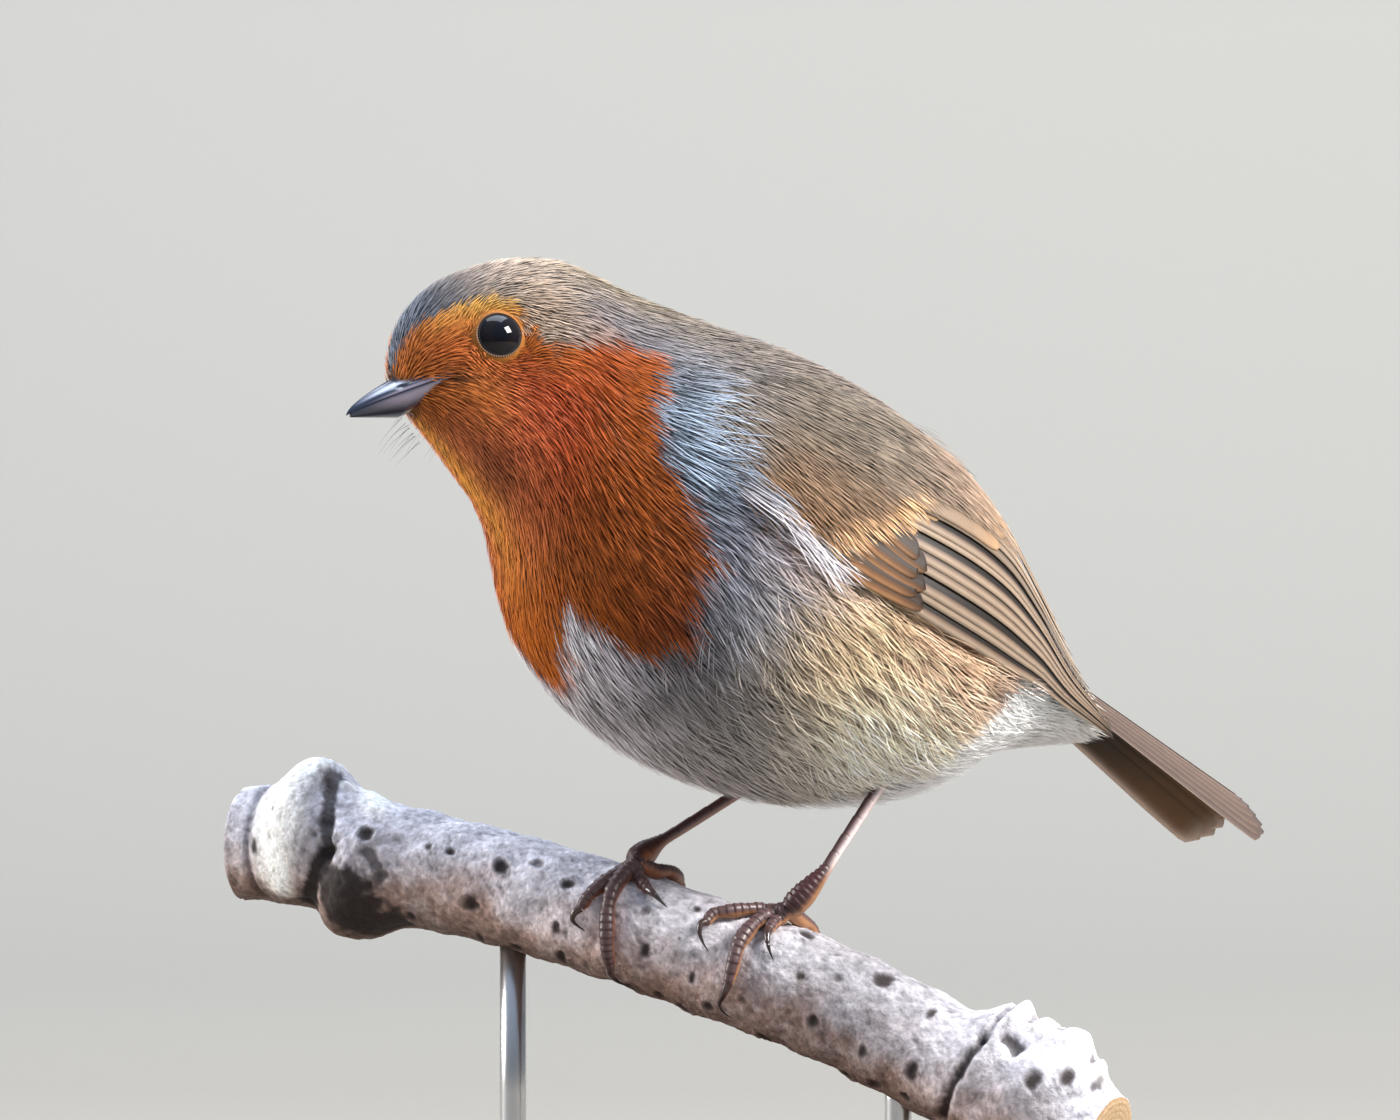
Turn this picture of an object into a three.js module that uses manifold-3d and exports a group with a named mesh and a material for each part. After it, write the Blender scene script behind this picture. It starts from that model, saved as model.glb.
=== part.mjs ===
// A life-size European robin (Erithacus rubecula) perched on a cut length of birch, on a display stand.
// Millimetres, +Z up. The bird faces -X and its left side is towards -Y. The origin is the centre of
// the underside of the stand's base. Each named mesh is one solid, about 0.3 mm clear of its neighbours.
import * as THREE from "three";
import { mergeVertices } from "three/addons/utils/BufferGeometryUtils.js";
import Module from "manifold-3d";

const wasm = await Module();
wasm.setup();

// ---- Driving dimensions -------------------------------------------------------------------------

const GAP = 0.3; // clearance between solids that meet
const RAD = Math.PI / 180;

// The plumage as a loft in the bird's middle plane, bill to tail: where the back and the belly line
// pass ([x, z]) and the half-width, at equal steps.
const BACK = [
  [-45.8, 109.4], [-44.3, 115.4], [-39.4, 120.4], [-31.2, 123.2], [-22.9, 123.2],
  [-14.7, 119.9], [-3.7, 116.3], [7.3, 113.0], [16.9, 108.6], [25.4, 102.6],
  [31.4, 96.1], [36.6, 88.0], [43.4, 78.0], [50.4, 70.0],
];
const BELLY = [
  [-42.5, 104.7], [-38.8, 100.9], [-35.3, 96.9], [-32.2, 92.8], [-30.2, 88.0],
  [-28.9, 82.6], [-26.1, 76.3], [-19.1, 69.0], [-8.1, 62.8], [5.2, 59.1],
  [16.9, 58.5], [27.2, 60.5], [36.2, 64.4], [48.6, 65.4],
];
const HALF_WIDTH = [2.6, 4.9, 7.5, 9.2, 10.6, 13, 17, 20.5, 22.5, 22.5, 20.5, 16.5, 11.2, 6.4];
const CUTS = [0, 0.262, 0.425, 0.8, 1]; // where head, neck, trunk and rump part, as shares of the loft
const CUT_GAP = 0.005; // the thin cut between them, as a share of the loft

const EYE = { at: 0.1915, down: 65.1, radius: 3.4, seen: 2.36 }; // place on the loft, ball and its seen disc

// The bill's edge rises, its width and its ridge grow, and its section arches, each as a power of a share.
const BILL = {
  tip: [-51.2, 104.7], gape: [-40, 109.6], gapeHalfWidth: 4.8, culmen: 1.8, depth: 3.2, bulge: 0.35,
  power: { rise: 0.85, width: 1.1, ridge: 0.4, arch: 1.2 }, overhang: 0.05,
};

// A folded wing, as places on the loft: [share along, degrees down from the back] at equal steps.
const WING_UPPER = [[0.44, 54], [0.52, 36], [0.62, 28], [0.74, 27], [0.87, 38], [1.0, 80]];
const WING_LOWER = [[0.455, 72], [0.53, 82], [0.62, 91], [0.735, 92], [0.865, 94], [1.0, 108]];
const WING_PARTS = [
  // from and to along the wing at the upper and lower edge, from and to across it, thickness, stand-out
  { name: "coverts", from: [0, 0], to: [0.57, 0.42], across: [0, 1], thick: [1.5, 2.2], proud: 0.7 },
  { name: "secondaries", from: [0.58, 0.486], to: [0.93, 0.93], across: [0, 0.64], thick: [1.8, 1.0], proud: 0.5 },
  { name: "primaries", from: [0.482, 0.43], to: [1, 1], across: [0.68, 1], thick: [1.5, 0.9], proud: 0.3 },
];

// Wing edges thin out over a share of the length and of the width, down to these shares of the stand-out.
const WING_EDGE = { lengthRate: 4, lengthLeast: 0.35, widthRate: 6, widthLeast: 0.3, sunk: 0.3 };

// Past its full share of the half-width the tip's corners round off, and inside it the notch opens.
const TAIL = {
  root: [44, 76.0], tip: [75.0, 57.4], halfWidth: [5.0, 7.0], roofDrop: [3.0, 5.2], roofPower: 1.4,
  thick: 0.8, notch: 2, full: 0.55, corner: 5, roll: 5,
};

// The perch: a birch branch whose middle line runs down towards the bird's left, as [run, height].
const PERCH = {
  heading: [0.6, -0.8],
  line: [
    [-64, 53.4], [-52, 52.6], [-40, 50.6], [-27, 47.9], [-16, 44.9],
    [0, 40.0], [12, 36.0], [26, 29.8], [39, 23.4], [48.5, 18.4],
  ],
  radius: 7.0,
  ripple: { height: 0.12, perRun: 0.9, perTurn: 3 },
  facingPower: 1.5, // how narrowly a knot swells round its own direction
  endInset: 0.5,
  knots: [
    { run: -54, spread: 4.2, swell: 3.6, turn: 10 },
    { run: -47, spread: 5.0, swell: 3.6, turn: 150 },
    { run: 32.5, spread: 2.6, swell: 3.2, turn: -10 },
    { run: 39, spread: 4.6, swell: 3.4, turn: 10 },
    { run: 46, spread: 4.6, swell: 1.8, turn: 120 },
  ],
};

// Legs: the joint above the toes, and the way the shank leans up and back into the belly feathers.
// Toes, hind one first: how far the claw's root lies along the perch from the joint (mm) and round it
// from the top (degrees), how late the toe turns down over the edge, and the toe's radius.
const SHANK = { length: 24, radius: 0.95, flare: 1.35, start: 0.6 };
const TOE = { radii: [1.4, 1.2, 1.05, 1.0, 1.0, 0.8], alongPower: 0.8, clear: 0.1 };
const LEGS = [
  {
    side: "left", foot: [6.5, -9, 48.9], lean: [9.1, -0.5, 12.2],
    toes: [
      { along: -1.2, round: -80, late: 0.75, radius: 1.15 },
      { along: -11.0, round: 45, late: 1.6, radius: 0.9 },
      { along: -7.2, round: 98, late: 1.5, radius: 1.0 },
      { along: -2.8, round: 38, late: 1.0, radius: 0.9 },
    ],
  },
  {
    side: "right", foot: [-6.6, 9, 52.8], lean: [13.9, 0.5, 7.2],
    toes: [
      { along: 2.6, round: -76, late: 0.75, radius: 1.15 },
      { along: -3.2, round: 70, late: 1.2, radius: 0.9 },
      { along: 0.2, round: 122, late: 1.2, radius: 1.0 },
      { along: 3.4, round: 32, late: 1.0, radius: 0.9 },
    ],
  },
];
const CLAW = { length: 4.6, radius: 0.6, curl: 70, taper: 0.78, raised: 0.6, flatten: 0.62, inset: 0.75 };

const BASE = { radius: 46, height: 8, chamfer: 1 };
const RODS = { radius: 1.6, runs: [-28, 22], inPerch: 4, inBase: 5 };

// ---- Small tools --------------------------------------------------------------------------------

// The value at share t of a row of numbers or points, on a smooth Catmull-Rom curve through them.
function through(row, t) {
  const last = row.length - 1;
  const at = THREE.MathUtils.clamp(t, 0, 1) * last;
  const i = Math.min(Math.floor(at), last - 1);
  const f = at - i;
  const [a, b, c, d] = [i - 1, i, i + 1, i + 2].map((k) => row[THREE.MathUtils.clamp(k, 0, last)]);
  const mix = (p, q, r, s) =>
    0.5 * (2 * q + (r - p) * f + (2 * p - 5 * q + 4 * r - s) * f * f + (3 * q - p - 3 * r + s) * f ** 3);
  return Array.isArray(b) ? b.map((_, k) => mix(a[k], b[k], c[k], d[k])) : mix(a, b, c, d);
}

const lerp = THREE.MathUtils.lerp;
const shares = (count) => Array.from({ length: count + 1 }, (_, i) => i / count);

// A closed geometry from rings of points, each ring going the same way round, with a point at each end.
function loft(rings, start, end) {
  const n = rings[0].length;
  const points = rings.flat().concat([start, end]);
  const faces = [];
  for (let i = 0; i + 1 < rings.length; i++)
    for (let j = 0; j < n; j++) {
      const k = (j + 1) % n;
      const [a, b, c, d] = [i * n + j, i * n + k, (i + 1) * n + k, (i + 1) * n + j];
      faces.push(a, b, c, a, c, d);
    }
  const [first, last, tail] = [points.length - 2, points.length - 1, (rings.length - 1) * n];
  for (let j = 0; j < n; j++) {
    const k = (j + 1) % n;
    faces.push(first, k, j, last, tail + j, tail + k);
  }
  return indexed(points, faces);
}

// A closed geometry from an outer and an inner grid of points, joined all round their edges.
function shell(outer, inner) {
  const [rows, cols] = [outer.length, outer[0].length];
  const points = outer.flat().concat(inner.flat());
  const at = (i, j) => i * cols + j;
  const under = rows * cols;
  const faces = [];
  for (let i = 0; i + 1 < rows; i++)
    for (let j = 0; j + 1 < cols; j++) {
      const [a, b, c, d] = [at(i, j), at(i, j + 1), at(i + 1, j + 1), at(i + 1, j)];
      faces.push(a, b, c, a, c, d, under + a, under + c, under + b, under + a, under + d, under + c);
    }
  const rim = [];
  for (let j = 0; j + 1 < cols; j++) rim.push(at(0, j));
  for (let i = 0; i + 1 < rows; i++) rim.push(at(i, cols - 1));
  for (let j = cols - 1; j > 0; j--) rim.push(at(rows - 1, j));
  for (let i = rows - 1; i > 0; i--) rim.push(at(i, 0));
  rim.forEach((a, i) => {
    const b = rim[(i + 1) % rim.length];
    faces.push(b, a, under + a, b, under + a, under + b);
  });
  return indexed(points, faces);
}

function indexed(points, faces) {
  const geometry = new THREE.BufferGeometry().setFromPoints(points);
  geometry.setIndex(faces);
  return geometry;
}

// A round tube along a row of points with a radius at each, its ends closed by short round noses.
function tube(points, radii, sides, steps) {
  const curve = new THREE.CatmullRomCurve3(points, false, "centripetal");
  const frames = curve.computeFrenetFrames(steps);
  const ring = (share) => {
    const at = curve.getPointAt(share);
    const index = Math.round(share * steps);
    const r = through(radii, share);
    return shares(sides - 1).map((_, k) => {
      const turn = (2 * Math.PI * k) / sides;
      return at.clone()
        .addScaledVector(frames.normals[index], r * Math.cos(turn))
        .addScaledVector(frames.binormals[index], r * Math.sin(turn));
    });
  };
  const nose = (share) => through(radii, share) * 0.5;
  const rings = shares(steps).map(ring);
  const end = (share, way) => {
    const index = Math.round(share * steps);
    return curve.getPointAt(share).addScaledVector(frames.tangents[index], way * nose(share));
  };
  return loft(rings, end(0, -1), end(1, 1));
}

// A geometry as a manifold-3d solid, facing out, and back again.
function solid(geometry) {
  const bare = geometry.clone();
  bare.deleteAttribute("normal");
  bare.deleteAttribute("uv");
  const merged = mergeVertices(bare, 1e-4);
  const make = (triVerts) =>
    new wasm.Manifold(
      new wasm.Mesh({ numProp: 3, vertProperties: merged.attributes.position.array, triVerts }),
    );
  const made = make(new Uint32Array(merged.index.array));
  return made.volume() > 0 ? made : make(new Uint32Array(merged.index.array).reverse());
}

function geometryOf(body) {
  const mesh = body.getMesh();
  const geometry = new THREE.BufferGeometry();
  geometry.setAttribute("position", new THREE.BufferAttribute(mesh.vertProperties, mesh.numProp));
  geometry.setIndex(new THREE.BufferAttribute(mesh.triVerts, 1));
  return geometry;
}

// The largest body of a cut, which drops the slivers that a cut may leave beside it.
function mainBody(body) {
  return body.decompose().sort((a, b) => b.volume() - a.volume())[0];
}

const cutBy = (body, tools) => mainBody(tools.reduce((left, tool) => left.subtract(tool), body));

// ---- The plumage loft ---------------------------------------------------------------------------

// The point at share t along the bird, down degrees round from the back, on the side of sign side.
function coat(t, down, side) {
  const [bx, bz] = through(BACK, t);
  const [vx, vz] = through(BELLY, t);
  const c = Math.cos(down * RAD);
  return new THREE.Vector3(
    (bx + vx) / 2 + ((bx - vx) / 2) * c,
    side * through(HALF_WIDTH, t) * Math.sin(down * RAD),
    (bz + vz) / 2 + ((bz - vz) / 2) * c,
  );
}

// The outward normal there, from small steps along and round the loft.
function coatNormal(t, down, side) {
  const [dt, dd] = [0.004, 1];
  const along = coat(Math.min(t + dt, 1), down, side).sub(coat(Math.min(t, 1 - dt), down, side));
  const round = coat(t, down + dd, side).sub(coat(t, down - dd, side));
  return along.cross(round).multiplyScalar(side).normalize();
}

function bodyLength(from, to, steps, sides = 24) {
  const rings = shares(steps).map((share) => {
    const t = lerp(from, to, share);
    return shares(sides - 1).map((_, k) => coat(t, (360 * k) / sides, 1));
  });
  const middle = (t) => coat(t, 0, 1).add(coat(t, 180, 1)).multiplyScalar(0.5);
  return solid(loft(rings, middle(from), middle(to)));
}

// ---- Head pieces --------------------------------------------------------------------------------

// Half a bill, from the tip to inside the face: way +1 is the upper half, and -1 the lower one. Both
// meet at an edge that rises to the gape. The upper half just overhangs the lower one at the tip.
function billHalf(way, grow = 0) {
  const [tipX, tipZ] = BILL.tip;
  const [gapeX, gapeZ] = BILL.gape;
  const start = way > 0 ? 0 : BILL.overhang;
  const rings = shares(8).slice(1).map((step) => {
    const share = lerp(start, 1, step);
    const rise = (gapeZ - tipZ) * share ** BILL.power.rise;
    const bulge = BILL.bulge * Math.sin(Math.PI * share);
    const wide = BILL.gapeHalfWidth * share ** BILL.power.width + bulge + grow;
    const ridge = BILL.culmen * share ** BILL.power.ridge;
    const high = (way > 0 ? ridge : Math.min(rise + 0.1, BILL.depth)) + 2 * grow;
    const seam = tipZ + rise + way * (GAP / 2 - grow);
    const x = lerp(tipX, gapeX, share) + (step === 1 ? grow : 0);
    return shares(11).map((_, k) => {
      const turn = (2 * Math.PI * k) / 12;
      const arch = Math.max(Math.sin(turn), 0) ** BILL.power.arch;
      return new THREE.Vector3(x, wide * Math.cos(turn), seam + way * arch * high);
    });
  });
  const nose = new THREE.Vector3(lerp(tipX, gapeX, start) - grow, 0, tipZ + way * (GAP / 2 + 0.1));
  const root = new THREE.Vector3(gapeX + grow, 0, gapeZ + way * (GAP / 2 + 0.5));
  return solid(loft(rings, nose, root));
}

function eyeCentre(side) {
  const inset = Math.sqrt(EYE.radius ** 2 - EYE.seen ** 2);
  return coat(EYE.at, EYE.down, side).addScaledVector(coatNormal(EYE.at, EYE.down, side), -inset);
}

function eyeBall(side, grow = 0) {
  const { x, y, z } = eyeCentre(side);
  const ball = new THREE.SphereGeometry(EYE.radius + grow, 14, 8).rotateX(Math.PI / 2);
  return solid(ball.translate(x, y, z));
}

// ---- Wings and tail -----------------------------------------------------------------------------

function wingPart(part, side, grow = 0) {
  const reach = grow / 60; // the same clearance as a share of the wing
  const grid = (offset) =>
    shares(8).map((u) =>
      shares(4).map((v) => {
        const across = lerp(part.across[0] - 3 * reach, part.across[1] + 3 * reach, v);
        const from = lerp(part.from[0], part.from[1], v) - reach;
        const to = lerp(part.to[0], part.to[1], v) + reach;
        const along = lerp(from, to, u);
        const [upperT, upperDown] = through(WING_UPPER, along);
        const [lowerT, lowerDown] = through(WING_LOWER, along);
        const t = lerp(upperT, lowerT, across) + Math.max(along - 1, 0);
        const down = lerp(upperDown, lowerDown, across);
        return coat(t, down, side).addScaledVector(coatNormal(t, down, side), offset(u, v));
      }),
    );
  // The edges are thinned so that the wing's outline lies on the coat round it.
  const { lengthRate, lengthLeast, widthRate, widthLeast, sunk } = WING_EDGE;
  const edge = (u, v) => Math.min(1, lengthRate * u + lengthLeast) * Math.min(1, widthRate * v + widthLeast);
  const outer = grid((u, v) => part.proud * edge(u, v) + grow);
  const inner = grid((u) => part.proud * sunk - lerp(part.thick[0], part.thick[1], u) - grow);
  return solid(shell(outer, inner));
}

// A roof of feathers: half its width falls away from the ridge by the drop, with a notch at its tip.
function tailFan(grow = 0) {
  const [rootX, rootZ] = TAIL.root;
  const [tipX, tipZ] = TAIL.tip;
  const length = Math.hypot(tipX - rootX, tipZ - rootZ);
  const along = new THREE.Vector3(tipX - rootX, 0, tipZ - rootZ).divideScalar(length);
  const roll = new THREE.Quaternion().setFromAxisAngle(along, TAIL.roll * RAD);
  const above = new THREE.Vector3(-along.z, 0, along.x).applyQuaternion(roll);
  const aside = new THREE.Vector3(0, 1, 0).applyQuaternion(roll);
  const grid = (lift) =>
    shares(5).map((u) =>
      shares(8).map((v) => {
        const across = 2 * v - 1;
        const rounding = TAIL.notch * Math.max(0, 1 - Math.abs(across) / TAIL.full);
        const shorter = Math.max(0, Math.abs(across) - TAIL.full) ** 2 * TAIL.corner;
        const run = u * (length - rounding - shorter) + (2 * u - 1) * grow;
        const wide = lerp(TAIL.halfWidth[0], TAIL.halfWidth[1], u) + grow;
        const drop = lerp(TAIL.roofDrop[0], TAIL.roofDrop[1], u);
        return new THREE.Vector3(rootX, 0, rootZ)
          .addScaledVector(along, run)
          .addScaledVector(above, lift - drop * Math.abs(across) ** TAIL.roofPower)
          .addScaledVector(aside, across * wide);
      }),
    );
  return solid(shell(grid(grow), grid(-TAIL.thick - grow)));
}

// ---- Perch, legs and feet -----------------------------------------------------------------------

const heading = new THREE.Vector3(PERCH.heading[0], PERCH.heading[1], 0);
const runs = [PERCH.line[0][0], PERCH.line.at(-1)[0]];

// The middle line's height at a run, between the stated points.
function perchPoint(run) {
  const line = PERCH.line;
  const i = Math.max(0, line.findIndex(([r], k) => k + 1 < line.length && run <= line[k + 1][0]));
  const share = (i + (run - line[i][0]) / (line[i + 1][0] - line[i][0])) / (line.length - 1);
  const height = through(line, share)[1];
  return heading.clone().multiplyScalar(run).setZ(height);
}

// The perch's own axes at a run: along it, upwards square to it, and out towards the bird's front.
function perchAxes(run) {
  const along = perchPoint(run + 0.5).sub(perchPoint(run - 0.5)).normalize();
  const out = new THREE.Vector3(PERCH.heading[1], -PERCH.heading[0], 0);
  const above = new THREE.Vector3().crossVectors(out, along).normalize();
  return { along, above, out };
}

function perchRadius(run, turn) {
  const swell = PERCH.knots.reduce((sum, knot) => {
    const near = Math.exp(-(((run - knot.run) / knot.spread) ** 2));
    const facing = 0.5 + 0.5 * Math.cos((turn - knot.turn) * RAD);
    return sum + knot.swell * near * facing ** PERCH.facingPower;
  }, 0);
  const { height, perRun, perTurn } = PERCH.ripple;
  return PERCH.radius + swell + height * Math.sin(run * perRun + turn * perTurn * RAD);
}

// A point round the perch: turn degrees from its top towards the bird's front, out from its middle.
function roundPerch(run, turn, out) {
  const axes = perchAxes(run);
  return perchPoint(run)
    .addScaledVector(axes.above, out * Math.cos(turn * RAD))
    .addScaledVector(axes.out, out * Math.sin(turn * RAD));
}

function perchBranch(grow = 0) {
  const [from, to] = [runs[0] + PERCH.endInset, runs[1] - PERCH.endInset];
  const sides = 16;
  const rings = shares(24).map((share) => {
    const run = lerp(from, to, share);
    return shares(sides - 1).map((_, k) => {
      const turn = (360 * k) / sides;
      return roundPerch(run, turn, perchRadius(run, turn) + grow);
    });
  });
  return solid(loft(rings, perchPoint(from), perchPoint(to)));
}

function legOf(leg, grow = 0) {
  const foot = new THREE.Vector3(...leg.foot);
  const lean = new THREE.Vector3(...leg.lean).normalize();
  const points = shares(4).map((share) => foot.clone().addScaledVector(lean, SHANK.start + share * SHANK.length));
  const radii = [SHANK.flare, SHANK.radius, SHANK.radius, SHANK.radius, SHANK.flare].map((r) => r + grow);
  return solid(tube(points, radii, 8, 4));
}

// Where each toe of a leg runs: from the sole over the perch to the claw's root, just off the bark.
function toePath(leg, toe) {
  const foot = new THREE.Vector3(...leg.foot);
  const run = foot.dot(heading);
  const path = shares(5).slice(1).map((share) => {
    const round = toe.round * share ** toe.late;
    const along = run + toe.along * share ** TOE.alongPower;
    return roundPerch(along, round, perchRadius(along, round) + GAP + TOE.clear + toe.radius);
  });
  return [foot, ...path];
}

function footOf(leg, grow = 0) {
  const toes = leg.toes.map((toe) => {
    const radii = TOE.radii.map((share) => share * toe.radius + grow);
    return solid(tube(toePath(leg, toe), radii, 6, 7));
  });
  return toes.reduce((foot, toe) => foot.add(toe));
}

// A claw that curls from the toe's end towards the bark, staying clear of it.
function clawOf(leg, toe) {
  const [before, root] = toePath(leg, toe).slice(-2);
  const ahead = root.clone().sub(before).normalize();
  const outward = root.clone().sub(perchPoint(root.dot(heading))).normalize();
  const rise = outward.addScaledVector(ahead, -outward.dot(ahead)).normalize();
  const bend = CLAW.curl * RAD;
  const points = shares(5).map((share) => {
    const turn = bend * share;
    const reach = (CLAW.length / bend) * Math.sin(turn);
    const fall = (CLAW.length / bend) * (1 - Math.cos(turn));
    return root.clone()
      .addScaledVector(ahead, CLAW.inset * toe.radius + GAP + reach)
      .addScaledVector(rise, CLAW.raised - CLAW.flatten * fall);
  });
  const radii = shares(5).map((share) => CLAW.radius * (1 - CLAW.taper * share));
  return solid(tube(points, radii, 5, 5));
}

// ---- Stand --------------------------------------------------------------------------------------

function standBase() {
  const { radius, height, chamfer } = BASE;
  const profile = [[0, 0], [radius - chamfer, 0], [radius, chamfer], [radius, height - chamfer],
    [radius - chamfer, height], [0, height]].map(([r, z]) => new THREE.Vector2(r, z));
  return solid(new THREE.LatheGeometry(profile, 32).rotateX(Math.PI / 2));
}

function standRod(run, grow = 0) {
  const { x, y, z } = perchPoint(run);
  const [low, high] = [BASE.height - RODS.inBase - grow, z - PERCH.radius + RODS.inPerch + grow];
  const rod = new THREE.CylinderGeometry(RODS.radius + grow, RODS.radius + grow, high - low, 20);
  return solid(rod.rotateX(Math.PI / 2).translate(x, y, (low + high) / 2));
}

// ---- Assembly -----------------------------------------------------------------------------------

const finish = (color, roughness, metalness = 0) =>
  new THREE.MeshStandardMaterial({ color, roughness, metalness });
const FINISH = {
  orange: finish(0xb8561c, 0.85),
  grey: finish(0x8b8f98, 0.85),
  brown: finish(0x8a7458, 0.85),
  pale: finish(0xc9c0a8, 0.85),
  flight: finish(0x6f5a42, 0.7),
  eye: finish(0x0b0a0c, 0.05),
  bill: finish(0x3a3840, 0.35),
  leg: finish(0x6b3b2c, 0.5),
  claw: finish(0x2c2222, 0.4),
  bark: finish(0xb9b0ab, 0.8),
  wood: finish(0x4a3326, 0.5),
  steel: finish(0x9a9ca0, 0.35, 1),
};

const bird = new THREE.Group();

function place(name, body, material) {
  const mesh = new THREE.Mesh(geometryOf(body), material);
  mesh.name = name;
  bird.add(mesh);
}

const SIDES = [["left", -1], ["right", 1]];
const spans = CUTS.slice(1).map((end, i) => [CUTS[i] + (i ? CUT_GAP : 0), end]);
const [headSpan, neckSpan, trunkSpan, rumpSpan] = spans;
const wingTools = SIDES.flatMap(([, side]) => WING_PARTS.map((part) => wingPart(part, side, GAP)));
const eyeTools = SIDES.map(([, side]) => eyeBall(side, GAP));
const billTools = [billHalf(1, GAP), billHalf(-1, GAP)];
const legTools = LEGS.map((leg) => legOf(leg, GAP));
const tailTool = tailFan(GAP);

place("head", cutBy(bodyLength(...headSpan, 10), [...eyeTools, ...billTools]), FINISH.orange);
place("neck", bodyLength(...neckSpan, 5), FINISH.orange);
place("trunk", cutBy(bodyLength(...trunkSpan, 10), [...wingTools, ...legTools]), FINISH.grey);
place("rump", cutBy(bodyLength(...rumpSpan, 6), [...wingTools, tailTool]), FINISH.pale);
place("bill_upper", billHalf(1), FINISH.bill);
place("bill_lower", billHalf(-1), FINISH.bill);
for (const [name, side] of SIDES) {
  place(`eye_${name}`, eyeBall(side), FINISH.eye);
  for (const part of WING_PARTS) {
    const material = part.name === "coverts" ? FINISH.brown : FINISH.flight;
    place(`wing_${name}_${part.name}`, cutBy(wingPart(part, side), [tailTool]), material);
  }
}
place("tail", tailFan(), FINISH.flight);

for (const leg of LEGS) {
  const foot = footOf(leg);
  place(`foot_${leg.side}`, cutBy(foot, [perchBranch(GAP), legOf(leg, GAP)]), FINISH.leg);
  place(`leg_${leg.side}`, legOf(leg), FINISH.leg);
  leg.toes.forEach((toe, i) => {
    const claw = cutBy(clawOf(leg, toe), [perchBranch(GAP), footOf(leg, GAP)]);
    place(`claw_${leg.side}_${i + 1}`, claw, FINISH.claw);
  });
}

const rodTools = RODS.runs.map((run) => standRod(run, GAP));
place("perch_branch", cutBy(perchBranch(), rodTools), FINISH.bark);
place("stand_base", cutBy(standBase(), rodTools), FINISH.wood);
RODS.runs.forEach((run, i) => place(`stand_rod_${i + 1}`, standRod(run), FINISH.steel));

export default bird;
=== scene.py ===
"""A life-size european robin gripping a cut length of birch, held by a display stand.

Geometry is worked out in millimetres in the part's own frame: the bird faces -X, its left side is
towards -Y and Z is up. Places on the body are given as t, the share of the way from bill to tail, and
turn, the angle in radians round from the back, which is negative on the bird's left.
"""
import logging
from dataclasses import dataclass, field
from enum import Enum
from typing import Sequence

import bpy
import numpy as np
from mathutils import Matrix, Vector


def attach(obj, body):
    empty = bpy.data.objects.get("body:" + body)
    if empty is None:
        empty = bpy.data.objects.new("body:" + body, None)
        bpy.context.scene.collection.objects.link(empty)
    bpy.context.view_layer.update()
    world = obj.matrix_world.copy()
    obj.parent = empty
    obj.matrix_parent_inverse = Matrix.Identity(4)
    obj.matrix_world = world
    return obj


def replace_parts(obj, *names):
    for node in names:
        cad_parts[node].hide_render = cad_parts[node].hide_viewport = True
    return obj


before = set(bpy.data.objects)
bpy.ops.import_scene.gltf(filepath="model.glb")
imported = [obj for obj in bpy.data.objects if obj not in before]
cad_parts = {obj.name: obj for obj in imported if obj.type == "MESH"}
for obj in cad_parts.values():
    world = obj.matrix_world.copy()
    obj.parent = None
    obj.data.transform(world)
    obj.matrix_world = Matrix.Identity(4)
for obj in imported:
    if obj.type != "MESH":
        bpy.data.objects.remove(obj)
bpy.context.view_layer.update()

MM = 0.001
BODY = "root"
SEED = 20
Array = np.ndarray
Colour = tuple[float, float, float]
Socket = bpy.types.NodeSocket
log = logging.getLogger("robin")


class Side(Enum):
    """The bird's two sides, with the sign of Y."""

    LEFT = -1
    RIGHT = 1

    @property
    def word(self) -> str:
        """The side's name in a node's name."""
        return self.name.lower()


# ---- Numbers and curves ----


def soft(x: Array, low: float, high: float) -> Array:
    """A smooth step: 0 below low and 1 above high, 3f2 - 2f3 between them."""
    f = np.clip((np.asarray(x, float) - low) / (high - low), 0, 1)
    return f * f * (3 - 2 * f)


def bump(x: Array, middle: float, spread: float) -> Array:
    """A bell curve of height 1: e to the power of minus the square of the distance in spreads."""
    return np.exp(-(((np.asarray(x, float) - middle) / spread) ** 2))


def mix(a: Array, b: Array, share: Array) -> Array:
    """Rows a and b blended by a share that is one number for each row."""
    s = np.asarray(share, float)[..., None]
    return np.asarray(a, float) * (1 - s) + np.asarray(b, float) * s


def through(row: Sequence, share: Array) -> Array:
    """Points on the Catmull-Rom curve through evenly spaced values.

    Args:
        row: numbers or points, one for each step.
        share: how far along the row, 0 to 1.

    Returns:
        One value for each share.
    """
    values = np.asarray(row, float)
    last = len(values) - 1
    at = np.clip(np.asarray(share, float), 0, 1) * last
    i = np.minimum(at.astype(int), last - 1)
    f = (at - i).reshape(at.shape + (1,) * (values.ndim - 1))
    a, b, c, d = (values[np.clip(i + k, 0, last)] for k in (-1, 0, 1, 2))
    return 0.5 * (2 * b + (c - a) * f + (2 * a - 5 * b + 4 * c - d) * f**2 + (3 * b - a - 3 * c + d) * f**3)


def circle(count: int) -> Array:
    """Evenly spaced angles round a full turn, from 0."""
    return np.linspace(0, 2 * np.pi, count, endpoint=False)


def unit(v: Array) -> Array:
    """Vectors scaled to length 1."""
    return v / np.maximum(np.linalg.norm(v, axis=-1, keepdims=True), 1e-12)


def dot(a: Array, b: Array) -> Array:
    """The dot product of each pair of vectors."""
    return (a * b).sum(-1)


def wander(x: Array, y: Array, key: float) -> Array:
    """A smooth pattern between -1 and 1: four sine waves across one another, set off by a key."""
    waves = ((1.0, 0.3, 1.7), (-0.6, 1.1, 0.4), (1.9, 1.3, 2.9), (-1.4, 2.3, 4.1))
    return sum(np.sin(a * x + b * y + c * key) / (1 + 0.5 * k) for k, (a, b, c) in enumerate(waves)) / 2.4


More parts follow.
